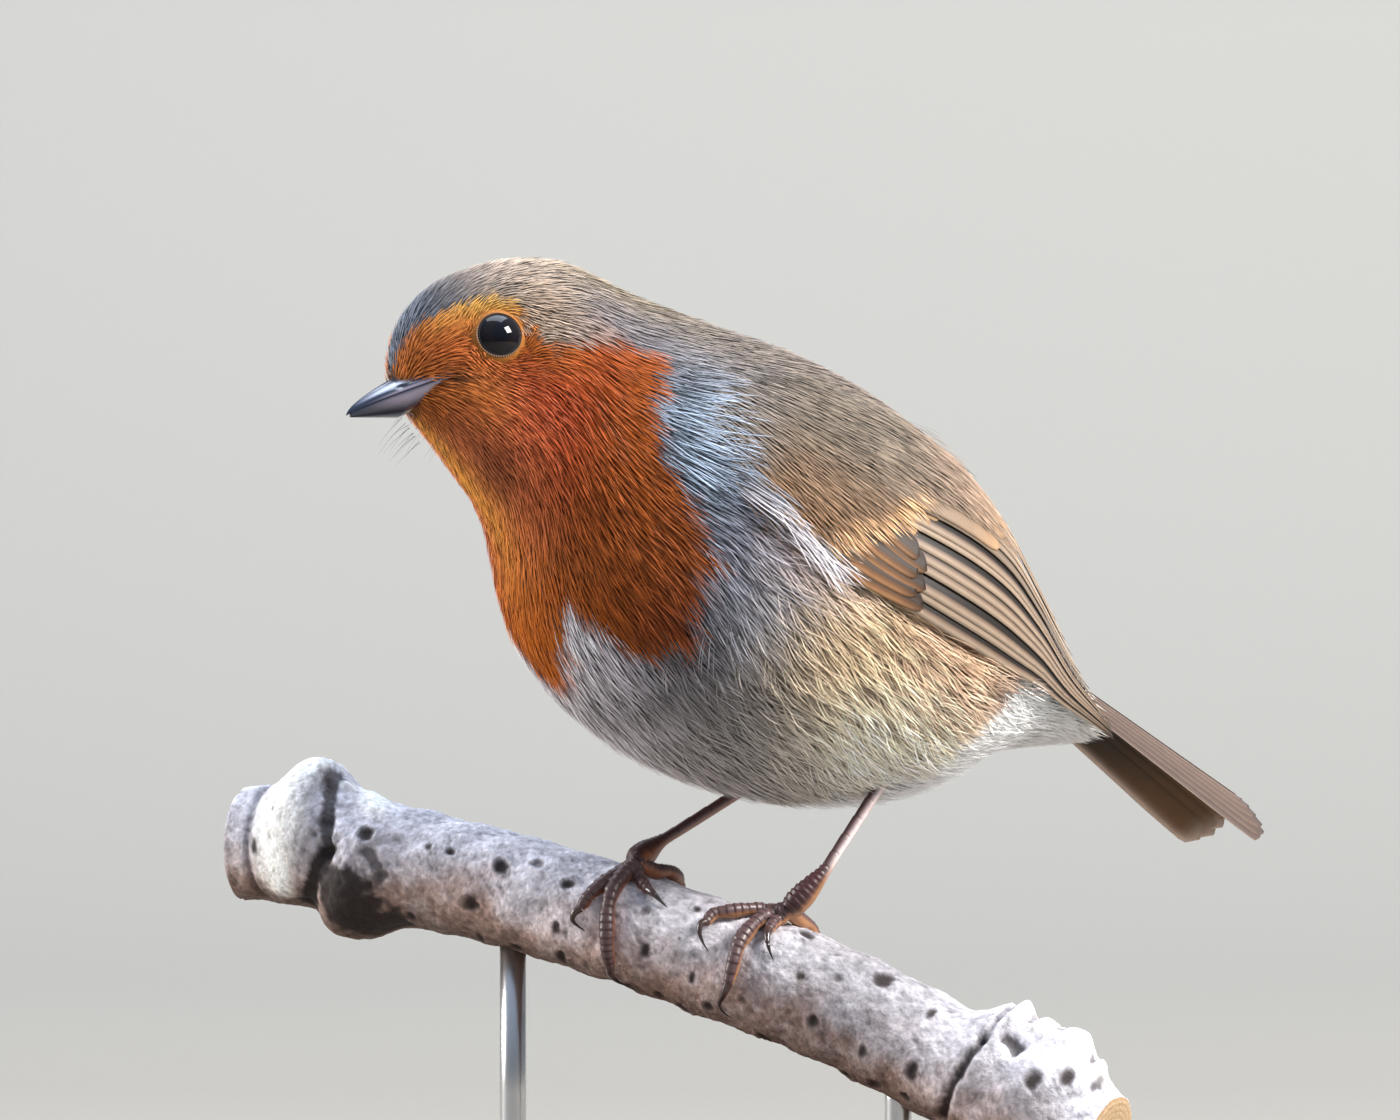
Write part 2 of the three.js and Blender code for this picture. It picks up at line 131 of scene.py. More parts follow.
def cloud(place: Array, size: float, key: int, octaves: int = 3) -> Array:
    """A cloudy pattern between about -1 and 1.

    Random heights on a cubic lattice are blended by smooth steps. Each octave has half the size and 0.6
    of the height of the one before.

    Args:
        place: points, as rows of three.
        size: the widest cloud, in the points' unit.
        key: which pattern.
        octaves: how many sizes of cloud are added.

    Returns:
        One number for each point.
    """
    table = np.random.default_rng(SEED + key).uniform(-1, 1, (32, 32, 32))
    total = np.zeros(place.shape[:-1])
    for k in range(octaves):
        at = place / size * 2**k + 7.7 * k
        low = np.floor(at).astype(int)
        f = soft(at - low, 0, 1)
        for corner in np.ndindex(2, 2, 2):
            share = np.prod(np.where(corner, f, 1 - f), -1)
            total = total + 0.6**k * share * table[tuple(np.moveaxis((low + corner) % 32, -1, 0))]
    return total


# ---- Meshes ----


def added(name: str, data: bpy.types.ID) -> bpy.types.Object:
    """An object with its data, added to the scene.

    Args:
        name: the object's name.
        data: its mesh, lamp or camera.

    Returns:
        The object.
    """
    made = bpy.data.objects.new(name, data)
    bpy.context.scene.collection.objects.link(made)
    return made


def spokes(count: int) -> Array:
    """Directions round the upright, one for each angle of a circle."""
    turn = circle(count)
    return np.stack([np.cos(turn), np.sin(turn), np.zeros(count)], -1)


@dataclass
class Sheet:
    """Points and faces on their way to becoming a mesh, with a colour and map places for each point."""

    points: Array
    faces: Array
    colour: Array | None = None
    bake: Array | None = None
    vane: Array | None = None

    @staticmethod
    def joined(parts: Sequence["Sheet"]) -> "Sheet":
        """All parts as one, with their faces counted on from one another.

        Args:
            parts: sheets with the same kinds of map.

        Returns:
            The one sheet.
        """
        starts = np.cumsum([0] + [len(p.points) for p in parts[:-1]])
        faces = np.concatenate([p.faces + s for p, s in zip(parts, starts)])
        kept = {}
        for name in ("points", "colour", "bake", "vane"):
            rows = [getattr(p, name) for p in parts]
            kept[name] = None if rows[0] is None else np.concatenate(rows)
        return Sheet(faces=faces, **kept)

    def shown(self, name: str, material: bpy.types.Material) -> bpy.types.Object:
        """Makes the mesh and its object, in metres, at the origin.

        Args:
            name: the object's name.
            material: its finish.

        Returns:
            The new object.
        """
        mesh = bpy.data.meshes.new(name)
        count, sides = self.faces.shape
        mesh.vertices.add(len(self.points))
        mesh.vertices.foreach_set("co", (self.points * MM).astype(np.float32).ravel())
        mesh.loops.add(count * sides)
        mesh.loops.foreach_set("vertex_index", self.faces.astype(np.int32).ravel())
        mesh.polygons.add(count)
        mesh.polygons.foreach_set("loop_start", np.arange(0, count * sides, sides, dtype=np.int32))
        mesh.polygons.foreach_set("use_smooth", np.ones(count, bool))
        if self.colour is not None:
            layer = mesh.attributes.new("tint", "FLOAT_COLOR", "POINT")
            rgba = np.concatenate([self.colour, np.ones((len(self.colour), 1))], 1)
            layer.data.foreach_set("color", rgba.astype(np.float32).ravel())
        for key, place in (("OFBake", self.bake), ("Vane", self.vane)):
            if place is not None:
                corners = place[self.faces.ravel()].astype(np.float32)
                mesh.uv_layers.new(name=key).data.foreach_set("uv", corners.ravel())
        mesh.update(calc_edges=True)
        mesh.materials.append(material)
        return added(name, mesh)

    def build(self, name: str, material: bpy.types.Material, slot: str) -> bpy.types.Object:
        """Makes a piece that rides on the part's one body, and reports it.

        Args:
            name: the piece's name.
            material: its finish.
            slot: the record's material slot for the piece; not used.

        Returns:
            The new object.
        """
        piece = self.shown(name, material)
        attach(piece, BODY)
        log.info("%s: %d points, %d faces", name, len(self.points), len(self.faces))
        return piece


def grid_faces(rows: int, cols: int, wrap: bool = False) -> Array:
    """Quads over a grid of points in row order; with wrap, the last column joins the first.

    Args:
        rows, cols: the grid's points.
        wrap: whether a row closes on itself.

    Returns:
        The corners of each quad.
    """
    i, j = np.meshgrid(np.arange(rows - 1), np.arange(cols if wrap else cols - 1), indexing="ij")
    k = (j + 1) % cols
    quads = np.stack([i * cols + j, i * cols + k, (i + 1) * cols + k, (i + 1) * cols + j], -1)
    return quads.reshape(-1, 4)


def outward(points: Array, faces: Array) -> Array:
    """Faces turned, if need be, so that the volume they close is positive.

    Args:
        points: the closed surface's points.
        faces: its faces, all turned the same way.

    Returns:
        The faces, pointing outwards.
    """
    a, b, c = (points[faces[:, k]] for k in range(3))
    volume = dot(a, np.cross(b, c)).sum()
    if faces.shape[1] == 4:
        volume += dot(a, np.cross(c, points[faces[:, 3]])).sum()
    return faces if volume > 0 else faces[:, ::-1]


def closed(rings: Array, colour: Array | None = None) -> Sheet:
    """A closed skin of triangles from rings of points, each end shut by a fan to its middle.

    Args:
        rings: points as (ring, place round it, xyz).
        colour: a colour for each point, in the same order.

    Returns:
        The skin as a sheet.
    """
    count, sides, _ = rings.shape
    quads = grid_faces(count, sides, wrap=True)
    j = np.arange(sides)
    k = (j + 1) % sides
    first, last, tail = count * sides, count * sides + 1, (count - 1) * sides
    fans = [
        np.stack([np.full(sides, first), k, j], -1),
        np.stack([np.full(sides, last), tail + j, tail + k], -1),
    ]
    faces = np.concatenate([quads[:, [0, 1, 2]], quads[:, [0, 2, 3]], *fans])
    points = np.concatenate([rings.reshape(-1, 3), rings[0].mean(0)[None], rings[-1].mean(0)[None]])
    if colour is not None:
        colour = np.concatenate([colour.reshape(-1, 3), colour[0].mean(0)[None], colour[-1].mean(0)[None]])
    return Sheet(points, outward(points, faces), colour)


def plate(top: Array, bottom: Array, colour: Array, vane: Array) -> Sheet:
    """A thin closed plate from two grids of points, one over the other, joined round their edges.

    Args:
        top: the outer grid, as (row, column, xyz), its faces pointing outwards.
        bottom: the inner grid, of the same shape.
        colour: a colour for each grid point.
        vane: a place on the Vane map for each grid point.

    Returns:
        The plate as a sheet.
    """
    rows, cols, _ = top.shape
    upper = grid_faces(rows, cols)
    under = rows * cols
    i, j = np.arange(rows) * cols, np.arange(cols)
    rim = np.concatenate([j[:-1], i[:-1] + cols - 1, (rows - 1) * cols + j[:0:-1], i[:0:-1]])
    ahead = np.roll(rim, -1)
    edge = np.stack([ahead, rim, rim + under, ahead + under], -1)
    points = np.concatenate([top.reshape(-1, 3), bottom.reshape(-1, 3)])
    return Sheet(
        points,
        outward(points, np.concatenate([upper, upper[:, ::-1] + under, edge])),
        np.tile(colour.reshape(-1, 3), (2, 1)),
        None,
        np.tile(vane.reshape(-1, 2), (2, 1)),
    )


def sweep(path: Array, radii: Array, sides: int, up: Array) -> Array:
    """Rings of points round a path.

    Args:
        path: the middle of each ring.
        radii: the radius of each ring, or of each point on it as (ring, place round it).
        sides: points in a ring.
        up: a direction that the first point of each ring leans to.

    Returns:
        The rings as (ring, place round it, xyz).
    """
    along = unit(np.gradient(path, axis=0))
    above = unit(up - along * dot(np.broadcast_to(up, path.shape), along)[:, None])
    aside = np.cross(along, above)
    angle = circle(sides)
    wide = np.broadcast_to(np.asarray(radii, float).reshape(len(path), -1), (len(path), sides))
    spoke = above[:, None] * np.cos(angle)[:, None] + aside[:, None] * np.sin(angle)[:, None]
    return path[:, None] + spoke * wide[..., None]


# ---- Finishes ----


class Graph:
    """A node tree being built."""

    def __init__(self, tree: bpy.types.NodeTree) -> None:
        """Starts on a tree, emptied of its nodes."""
        self.tree = tree
        tree.nodes.clear()

    def add(self, kind: str, values: dict | None = None, **settings: object) -> bpy.types.Node:
        """Adds a node.

        Args:
            kind: the node's type, without its usual prefix.
            values: for each input, by name or number, a value or the socket that feeds it.
            settings: the node's own settings.

        Returns:
            The node.
        """
        node = self.tree.nodes.new(kind if kind.startswith("Node") else "ShaderNode" + kind)
        for key, value in settings.items():
            setattr(node, key, value)
        for key, value in (values or {}).items():
            if isinstance(value, Socket):
                self.tree.links.new(value, node.inputs[key])
            else:
                node.inputs[key].default_value = value
        return node

    def math(self, operation: str, *values: float | Socket) -> Socket:
        """A Math node's output, from its operation and its values in order."""
        return self.add("Math", dict(enumerate(values)), operation=operation).outputs[0]

    def scaled(self, colour: Socket, factor: Socket) -> Socket:
        """A colour times a number."""
        return self.add("VectorMath", {0: colour, "Scale": factor}, operation="SCALE").outputs[0]

    def ramp(self, source: Socket, stops: Sequence[tuple[float, Colour]]) -> Socket:
        """A colour ramp fed by a source.

        Args:
            source: the number that is looked up.
            stops: each stop's place and colour.

        Returns:
            The colour.
        """
        node = self.add("ValToRGB", {"Fac": source})
        elements = node.color_ramp.elements
        for k, (place, colour) in enumerate(stops):
            element = elements[k] if k < 2 else elements.new(place)
            element.position = place
            element.color = (*colour, 1)
        return node.outputs["Color"]


def mottle_group() -> bpy.types.NodeTree:
    """The group that mottles a colour with noise, made once.

    Color out is the colour times 1 plus Amount times the noise, which swings between about -1 and 1;
    Height is the noise itself.

    Returns:
        The group.
    """
    made = bpy.data.node_groups.get("mottle")
    if made:
        return made
    tree = bpy.data.node_groups.new("mottle", "ShaderNodeTree")
    graph = Graph(tree)
    for name, kind in (("Color", "Color"), ("Vector", "Vector"), ("Scale", "Float"), ("Amount", "Float")):
        tree.interface.new_socket(name, in_out="INPUT", socket_type=f"NodeSocket{kind}")
    for name, kind in (("Color", "Color"), ("Height", "Float")):
        tree.interface.new_socket(name, in_out="OUTPUT", socket_type=f"NodeSocket{kind}")
    given = graph.add("NodeGroupInput")
    noise = graph.add(
        "TexNoise", {"Vector": given.outputs["Vector"], "Scale": given.outputs["Scale"], "Detail": 5.0}
    )
    swing = graph.math("MULTIPLY_ADD", noise.outputs["Fac"], 2.6, -1.3)
    gain = graph.math("MULTIPLY_ADD", swing, given.outputs["Amount"], 1.0)
    tinted = graph.scaled(given.outputs["Color"], gain)
    graph.add("NodeGroupOutput", {"Color": tinted, "Height": noise.outputs["Fac"]})
    return tree


@dataclass(frozen=True)
class Finish:
    """A finish: the piece's tint mottled by noise, with a bump from the same noise.

    Scale, stretch and amount are the noise's; relief and depth (in metres) are the bump's.
    """

    name: str
    roughness: float = 0.6
    sheen: float = 0.0
    coat: float = 0.0
    specular: float = 0.5
    metallic: float = 0.0
    scale: float = 900.0
    amount: float = 0.12
    stretch: tuple[float, float, float] = (1.0, 1.0, 1.0)
    relief: float = 0.2
    depth: float = 0.0001

    def coloured(self, graph: Graph) -> Socket:
        """The colour before it is mottled: the piece's tint attribute."""
        return graph.add("Attribute", attribute_name="tint").outputs["Color"]

    def material(self) -> bpy.types.Material:
        """The finish as a material, made at its first use.

        Returns:
            The material.
        """
        made = bpy.data.materials.get(self.name)
        if made:
            return made
        made = bpy.data.materials.new(self.name)
        made.use_nodes = True
        graph = Graph(made.node_tree)
        place = graph.add("TexCoord").outputs["Object"]
        spread = graph.add("Mapping", {"Vector": place, "Scale": self.stretch}).outputs[0]
        marks = graph.add(
            "Group",
            {"Color": self.coloured(graph), "Vector": spread, "Scale": self.scale, "Amount": self.amount},
            node_tree=mottle_group(),
        )
        lift = graph.add(
            "Bump", {"Height": marks.outputs["Height"], "Strength": self.relief, "Distance": self.depth}
        )
        shader = graph.add(
            "BsdfPrincipled",
            {
                "Base Color": marks.outputs["Color"], "Normal": lift.outputs[0],
                "Roughness": self.roughness, "Metallic": self.metallic,
                "Specular IOR Level": self.specular, "Coat Weight": self.coat, "Coat Roughness": 0.12,
                "Sheen Weight": self.sheen, "Sheen Roughness": 0.4,
            },
        )
        graph.add("OutputMaterial", {"Surface": shader.outputs[0]})
        return made


@dataclass(frozen=True)
class VaneFinish(Finish):
    """A flight feather's finish: bands across the vane from the outer edge in, and fine slanting barbs."""

    edge: Colour = (0.385, 0.288, 0.21)
    web: Colour = (0.17, 0.11, 0.075)
    # dark: the band where the next feather's edge lies over the vane, partly the inner web's own colour and
    # partly painted shadow.
    dark: Colour = (0.014, 0.009, 0.007)
    bands: tuple[float, float, float, float] = (0.0, 0.11, 0.24, 0.31)
    barbs: float = 150.0

    def coloured(self, graph: Graph) -> Socket:
        """Edge, web and dark by the place across the vane, darker at fine barbs, times the tint.

        Args:
            graph: the material's nodes.

        Returns:
            The colour.
        """
        place = graph.add("SeparateXYZ", {0: graph.add("UVMap", uv_map="Vane").outputs[0]})
        across, along = place.outputs["X"], place.outputs["Y"]
        a, b, c, d = self.bands
        # The dark band is partly painted shadow from the next feather's edge.
        banded = graph.ramp(across, ((a, self.edge), (b, self.edge), (c, self.web), (d, self.dark)))
        full_turn = 6.283
        slant = graph.math("MULTIPLY_ADD", across, 0.16, along)
        wave = graph.math("SINE", graph.math("MULTIPLY", slant, self.barbs * full_turn))
        lined = graph.scaled(banded, graph.math("MULTIPLY_ADD", wave, 0.1, 0.92))
        tint = super().coloured(graph)
        return graph.add("VectorMath", {0: lined, 1: tint}, operation="MULTIPLY").outputs[0]


BARB = Finish("feather_barb", roughness=0.62, sheen=0.12, specular=0.22, scale=500, amount=0.1, relief=0.0)
DOWN = Finish("undercoat", roughness=0.9, sheen=0.1, specular=0.1, scale=2600, amount=0.5, relief=0.6)
FLIGHT = VaneFinish("flight_vane", roughness=0.5, sheen=0.1, specular=0.35, scale=700, relief=0.1)
COVERT = VaneFinish(
    "covert_vane", roughness=0.55, sheen=0.15, specular=0.3, scale=800, amount=0.15, relief=0.1,
    edge=(0.42, 0.27, 0.16), web=(0.27, 0.16, 0.09), dark=(0.05, 0.03, 0.02),
    bands=(0.0, 0.07, 0.3, 0.55),
)
TAIL = VaneFinish(
    "tail_vane", roughness=0.5, sheen=0.1, specular=0.35, scale=700, amount=0.15, relief=0.1,
    edge=(0.1, 0.067, 0.052), web=(0.07, 0.046, 0.036), dark=(0.04, 0.027, 0.02),
    bands=(0.0, 0.06, 0.2, 1.0),
)
HORN = Finish(
    "bill_horn", roughness=0.24, coat=0.6, scale=700, stretch=(0.15, 1, 1), amount=0.2, relief=0.15,
)
EYE = Finish("eye_gloss", roughness=0.05, specular=0.3, scale=300, amount=0.1, relief=0.0)
LID = Finish("eyelid", roughness=0.65, specular=0.2, scale=1800, amount=0.2, relief=0.2)
SCALES = Finish("leg_scales", roughness=0.42, coat=0.08, specular=0.4, scale=1400, amount=0.25, relief=0.35)
CLAW = Finish("claw_horn", roughness=0.3, coat=0.4, scale=900, amount=0.2, relief=0.1)
BARK = Finish("bark_surface", roughness=0.8, specular=0.25, scale=2200, amount=0.3, relief=0.8, depth=0.0002)
WOOD = Finish(
    "turned_wood", roughness=0.42, coat=0.25, scale=90, stretch=(1, 14, 14), amount=0.3, relief=0.1,
)
STEEL = Finish("brushed_steel", roughness=0.28, metallic=1.0, scale=300, stretch=(1, 1, 0.05), amount=0.08)


# ---- The body's shape and its colours ----


@dataclass(frozen=True)
class Loft:
    """The plumage's outer shape, from the lines of the back and belly and the half-width between them."""

    back: tuple = (
        (-45.8, 109.4), (-44.3, 115.4), (-39.4, 120.4), (-31.2, 123.2), (-22.9, 123.2), (-14.7, 119.9),
        (-3.7, 116.3), (7.3, 113.0), (16.9, 108.6), (25.4, 102.6), (31.4, 96.1), (36.6, 88.0),
        (43.4, 78.0), (50.4, 70.0),
    )
    belly: tuple = (
        (-42.5, 104.7), (-38.8, 100.9), (-35.3, 96.9), (-32.2, 92.8), (-30.2, 88.0), (-28.9, 82.6),
        (-26.1, 76.3), (-19.1, 69.0), (-8.1, 62.8), (5.2, 59.1), (16.9, 58.5), (27.2, 60.5),
        (36.2, 64.4), (48.6, 65.4),
    )
    half_width: tuple = (2.6, 4.9, 7.5, 9.2, 10.6, 13, 17, 20.5, 22.5, 22.5, 20.5, 16.5, 11.2, 6.4)
    step: float = 0.01

    def ring(self, t: Array, turn: Array) -> Array:
        """Half the lines' sum plus half their difference times cos turn, and half-width times sin turn.

        Args:
            t, turn: places on the body.

        Returns:
            Points.
        """
        back, belly = through(self.back, t), through(self.belly, t)
        flat = (back + belly) / 2 + (back - belly) / 2 * np.cos(turn)[..., None]
        return np.stack([flat[..., 0], through(self.half_width, t) * np.sin(turn), flat[..., 1]], -1)

    def point(self, t: Array, turn: Array) -> Array:
        """The surface at places (t, turn), carried straight on beyond the first and last ring.

        Args:
            t, turn: places on the body.

        Returns:
            Points.
        """
        t, turn = np.broadcast_arrays(np.asarray(t, float), np.asarray(turn, float))
        kept = np.clip(t, 0, 1)
        at = self.ring(kept, turn)
        inner = self.ring(kept - self.step * np.sign(t - kept), turn)
        return at + (at - inner) * (np.abs(t - kept) / self.step)[..., None]

    def slopes(self, t: Array, turn: Array) -> tuple[Array, Array]:
        """How far the surface moves for each unit of t and of turn, by central differences.

        Args:
            t, turn: places on the body.

        Returns:
            The slope along and the slope round.
        """
        dt, du = 0.002, 0.01
        along = (self.point(t + dt, turn) - self.point(t - dt, turn)) / (2 * dt)
        around = (self.point(t, turn + du) - self.point(t, turn - du)) / (2 * du)
        return along, around

    def out(self, t: Array, turn: Array) -> Array:
        """The outward normal: the slope along crossed with the slope round."""
        along, around = self.slopes(np.asarray(t, float), np.asarray(turn, float))
        return unit(np.cross(along, around))

    def raised(self, t: Array, turn: Array, height: Array) -> Array:
        """The surface at places (t, turn), moved out by a height."""
        return self.point(t, turn) + self.out(t, turn) * np.asarray(height, float)[..., None]


LOFT = Loft()
EYE_AT, EYE_DOWN, EYE_RADIUS, EYE_SEEN = 0.1915, np.radians(65.1), 3.4, 2.36
WING_UPPER = ((0.44, 54), (0.52, 36), (0.62, 28), (0.74, 27), (0.87, 38), (1.0, 80))
WING_LOWER = ((0.455, 72), (0.53, 82), (0.62, 91), (0.735, 92), (0.865, 94), (1.0, 108))
WING_FRONT = 0.44
OUTSIDE = -90
GOLDEN = (0.7548776662, 0.5698402910)  # 1/g and 1/g squared, where g cubed is g plus 1


def wing_cover(t: Array, turn: Array) -> Array:
    """How deep under a folded wing a place lies, in degrees inwards from its nearest edge.

    Behind the front edge, a hundredth of the way along the body counts as 2 degrees.

    Args:
        t, turn: places on the body.

    Returns:
        Degrees, negative outside the wing.
    """
    down = np.degrees(np.abs(turn))
    upper, lower = np.array(WING_UPPER), np.array(WING_LOWER)
    inner = down - np.interp(t, upper[:, 0], upper[:, 1])
    outer = np.interp(t, lower[:, 0], lower[:, 1]) - down
    front = (t - WING_FRONT) * 200
    return np.where((t > WING_FRONT) & (t < 1), np.minimum(np.minimum(inner, outer), front), OUTSIDE)


@dataclass(frozen=True)
class Patch:
    """A named place in the plumage: its colour, where its middle lies and how far it spreads."""

    colour: Colour
    t: float
    down: float
    spread_t: float = 0.06
    spread_down: float = 20


@dataclass(frozen=True)
class Plumage:
    """The markings that skin and coat share: an orange bib over grey, brown, buff and white ground.

    The bib's upper edge is (t, degrees down); its rear edge and the white vent's edge (degrees down, t).
    Some patches are painted shade, throat_edge is partly painted light, and painted_shade is a dark
    colour painted where shade falls.
    """

    ground: dict[str, Patch] = field(default_factory=lambda: {
        "forehead": Patch((0.19, 0.235, 0.31), 0.06, 0, 0.05, 30),
        "crown_front": Patch((0.0442, 0.0416, 0.0493), 0.13, 15, 0.05, 25),
        "crown_top": Patch((0.429, 0.336, 0.27), 0.24, 0, 0.06, 30),
        "crown_back": Patch((0.165, 0.12, 0.0589), 0.33, 0, 0.06, 30),
        "behind_eye": Patch((0.353, 0.246, 0.162), 0.25, 50, 0.025, 9),
        "nape_side": Patch((0.153, 0.151, 0.194), 0.34, 50, 0.05, 14),
        "mantle": Patch((0.154, 0.128, 0.11), 0.48, 0, 0.1, 40),
        "back": Patch((0.147, 0.104, 0.076), 0.66, 0, 0.1, 40),
        "rump": Patch((0.171, 0.125, 0.085), 0.88, 0, 0.1, 45),
        "blue_band": Patch((0.27, 0.355, 0.47), 0.45, 74, 0.05, 14),
        "blue_side": Patch((0.205, 0.219, 0.284), 0.52, 98, 0.04, 14),
        "white_tuft": Patch((0.734, 0.558, 0.515), 0.56, 87, 0.03, 6),
        "belly_front": Patch((0.598, 0.553, 0.592), 0.56, 175, 0.07, 25),
        # The belly's grey feathers, made far darker than they are: partly painted shade.
        "belly_grey_and_shade": Patch((0.0255, 0.0287, 0.0511), 0.56, 128, 0.06, 26),
        # Painted shade on the belly below the breast.
        "belly_shade": Patch((0.03, 0.03, 0.036), 0.572, 134, 0.03, 10),
        # Painted shade on the belly's underside.
        "belly_under_shade": Patch((0.108, 0.09, 0.072), 0.62, 156, 0.04, 16),
        "belly_wedge": Patch((0.68, 0.64, 0.706), 0.465, 150, 0.028, 8),
        # The flank's rear end: buff darkened as painted shade where it overhangs the vent.
        "flank_end_shade": Patch((0.096, 0.072, 0.048), 0.793, 112, 0.022, 12),
        "belly": Patch((0.258, 0.24, 0.214), 0.7, 180, 0.1, 30),
        "flank_fore": Patch((0.75, 0.564, 0.32), 0.605, 105, 0.035, 12),
        "side_grey": Patch((0.24, 0.27, 0.33), 0.546, 111, 0.022, 9),
        # Painted shade on the blue-grey band at the shoulder.
        "blue_shade": Patch((0.045, 0.0495, 0.0675), 0.472, 86, 0.02, 7),
        "ear": Patch((0.34, 0.2, 0.12), 0.32, 57, 0.02, 5),
        "flank": Patch((0.574, 0.359, 0.231), 0.7, 108, 0.07, 24),
        "flank_low": Patch((0.85, 0.85, 0.73), 0.69, 136, 0.07, 18),
        "vent": Patch((0.394, 0.262, 0.18), 0.82, 165, 0.06, 40),
        "undertail": Patch((0.85, 0.85, 0.85), 0.93, 150, 0.07, 50),
        "flank_pale": Patch((0.92, 0.82, 0.58), 0.685, 126, 0.04, 7),
        # Painted shade on the side below the bib's rear.
        "side_shade": Patch((0.03, 0.028, 0.035), 0.533, 123, 0.015, 6),
        # Painted shadow under the wing's lower edge.
        "shadow_under_wing": Patch((0.06, 0.05, 0.045), 0.79, 92, 0.012, 3.5),
    })
    bib: dict[str, Patch] = field(default_factory=lambda: {
        "base_of_bill": Patch((0.586, 0.18, 0.0321), 0.02, 60, 0.04, 60),
        "brow": Patch((0.789, 0.5, 0.108), 0.17, 42, 0.04, 10),
        "before_eye": Patch((0.628, 0.158, 0.0371), 0.13, 62, 0.04, 16),
        "behind_eye": Patch((0.571, 0.202, 0.0212), 0.245, 64, 0.03, 10),
        "gape": Patch((0.553, 0.193, 0.0369), 0.14, 92, 0.03, 14),
        "cheek": Patch((0.3, 0.0222, 0.000987), 0.27, 85, 0.06, 26),
        "throat": Patch((0.672, 0.183, 0.0695), 0.18, 140, 0.08, 34),
        # The throat's lower edge: amber, made paler by painted light.
        "throat_edge": Patch((0.746, 0.349, 0.0342), 0.16, 180, 0.09, 16),
        "neck": Patch((0.372, 0.0877, 0.00503), 0.38, 80, 0.06, 26),
        # Painted shade in the throat below the cheek.
        "throat_shade": Patch((0.015, 0.003, 0.0025), 0.169, 139, 0.034, 13),
        "breast": Patch((0.21, 0.0485, 0.00817), 0.42, 115, 0.07, 34),
        # Painted shade at the bib's lower rear corner.
        "breast_shade": Patch((0.11, 0.019, 0.006), 0.486, 126, 0.02, 7),
        "breast_front": Patch((0.559, 0.13, 0.0015), 0.4, 175, 0.1, 28),
    })
    bib_upper: tuple = (
        (0, 12), (0.042, 20), (0.0887, 33), (0.14, 41.5), (0.18, 41.5), (0.2025, 43.5), (0.2213, 52),
        (0.229, 61), (0.236, 68), (0.25, 69.5), (0.28, 65), (0.308, 60), (0.343, 54), (0.38, 52), (0.42, 53),
    )
    bib_rear: tuple = (
        (50, 0.396), (60, 0.392), (70, 0.392), (80, 0.404), (86, 0.424), (91, 0.444), (97, 0.469),
        (104, 0.491), (112, 0.502), (120, 0.512), (128, 0.522), (136, 0.506), (139, 0.482), (141, 0.458),
        (143, 0.442), (146, 0.41), (152, 0.41), (160, 0.435), (172, 0.472), (180, 0.48),
    )
    vent: tuple = (
        (80, 0.8), (101, 0.822), (113, 0.806), (124, 0.796), (135, 0.772), (147, 0.735), (160, 0.71),
        (180, 0.69),
    )
    white: Colour = (0.78, 0.75, 0.73)
    # painted_shade: a dark colour painted where shade falls: under the wing's tip, in the gape's seam and on
    # the lore.
    painted_shade: Colour = (0.07, 0.03, 0.025)

    def blended(self, patches: dict[str, Patch], t: Array, down: Array) -> Array:
        """Patch colours averaged by bell-curve weights, which fall with the distance in spreads.

        Args:
            patches: the patches by name.
            t, down: places on the body, down in degrees.

        Returns:
            One colour for each place.
        """
        rows = list(patches.values())
        fall = [((t - p.t) / p.spread_t) ** 2 + ((down - p.down) / p.spread_down) ** 2 for p in rows]
        weight = np.exp(-0.5 * np.stack(fall, -1)) + 1e-12
        return (weight @ np.array([p.colour for p in rows])) / weight.sum(-1, keepdims=True)

    def bibbed(self, t: Array, down: Array) -> Array:
        """How orange each place is, 0 to 1: below the bib's upper edge and ahead of its rear edge.

        Args:
            t, down: places on the body, down in degrees.

        Returns:
            One share for each place.
        """
        upper, rear = np.array(self.bib_upper), np.array(self.bib_rear)
        below = soft(down - np.interp(t, upper[:, 0], upper[:, 1]), -2.5, 2.5)
        ragged = 0.012 * wander(down * 0.55, t * 30, 2.0) * soft(down, 70, 100)
        ahead = soft(np.interp(down, rear[:, 0], rear[:, 1]) + ragged - t, -0.006, 0.006)
        return below * ahead

    def colour(self, t: Array, turn: Array) -> Array:
        """The plumage's colour at places on the body.

        Args:
            t, turn: places on the body.

        Returns:
            One colour for each place.
        """
        down = np.degrees(np.abs((turn + np.pi) % (2 * np.pi) - np.pi))
        ground = self.blended(self.ground, t, down)
        edge = np.interp(down, *np.array(self.vent).T) + 0.01 * wander(down * 0.4, t * 30, 6.0)
        ground = mix(ground, self.white, soft(t - edge, -0.008, 0.008) * soft(down, 72, 84))
        # Painted shadow in the gap under the wing's tip, between the flank and the white vent.
        ground = mix(ground, self.painted_shade, 0.9 * bump(t, 0.808, 0.014) * bump(down, 98, 8))
        colour = mix(ground, self.blended(self.bib, t, down), self.bibbed(t, down))
        # Painted shade along the gape's seam behind the bill, and on the lore above it.
        gape = bump(down, 84, 1.6) * soft(t, 0.07, 0.09) * (1 - soft(t, 0.13, 0.15))
        lore = 0.45 * bump(t, 0.1, 0.02) * bump(down, 79, 3.5)
        return mix(colour, self.painted_shade, np.clip(gape + lore, 0, 0.9))


PLUMAGE = Plumage()


# ---- The coat ----


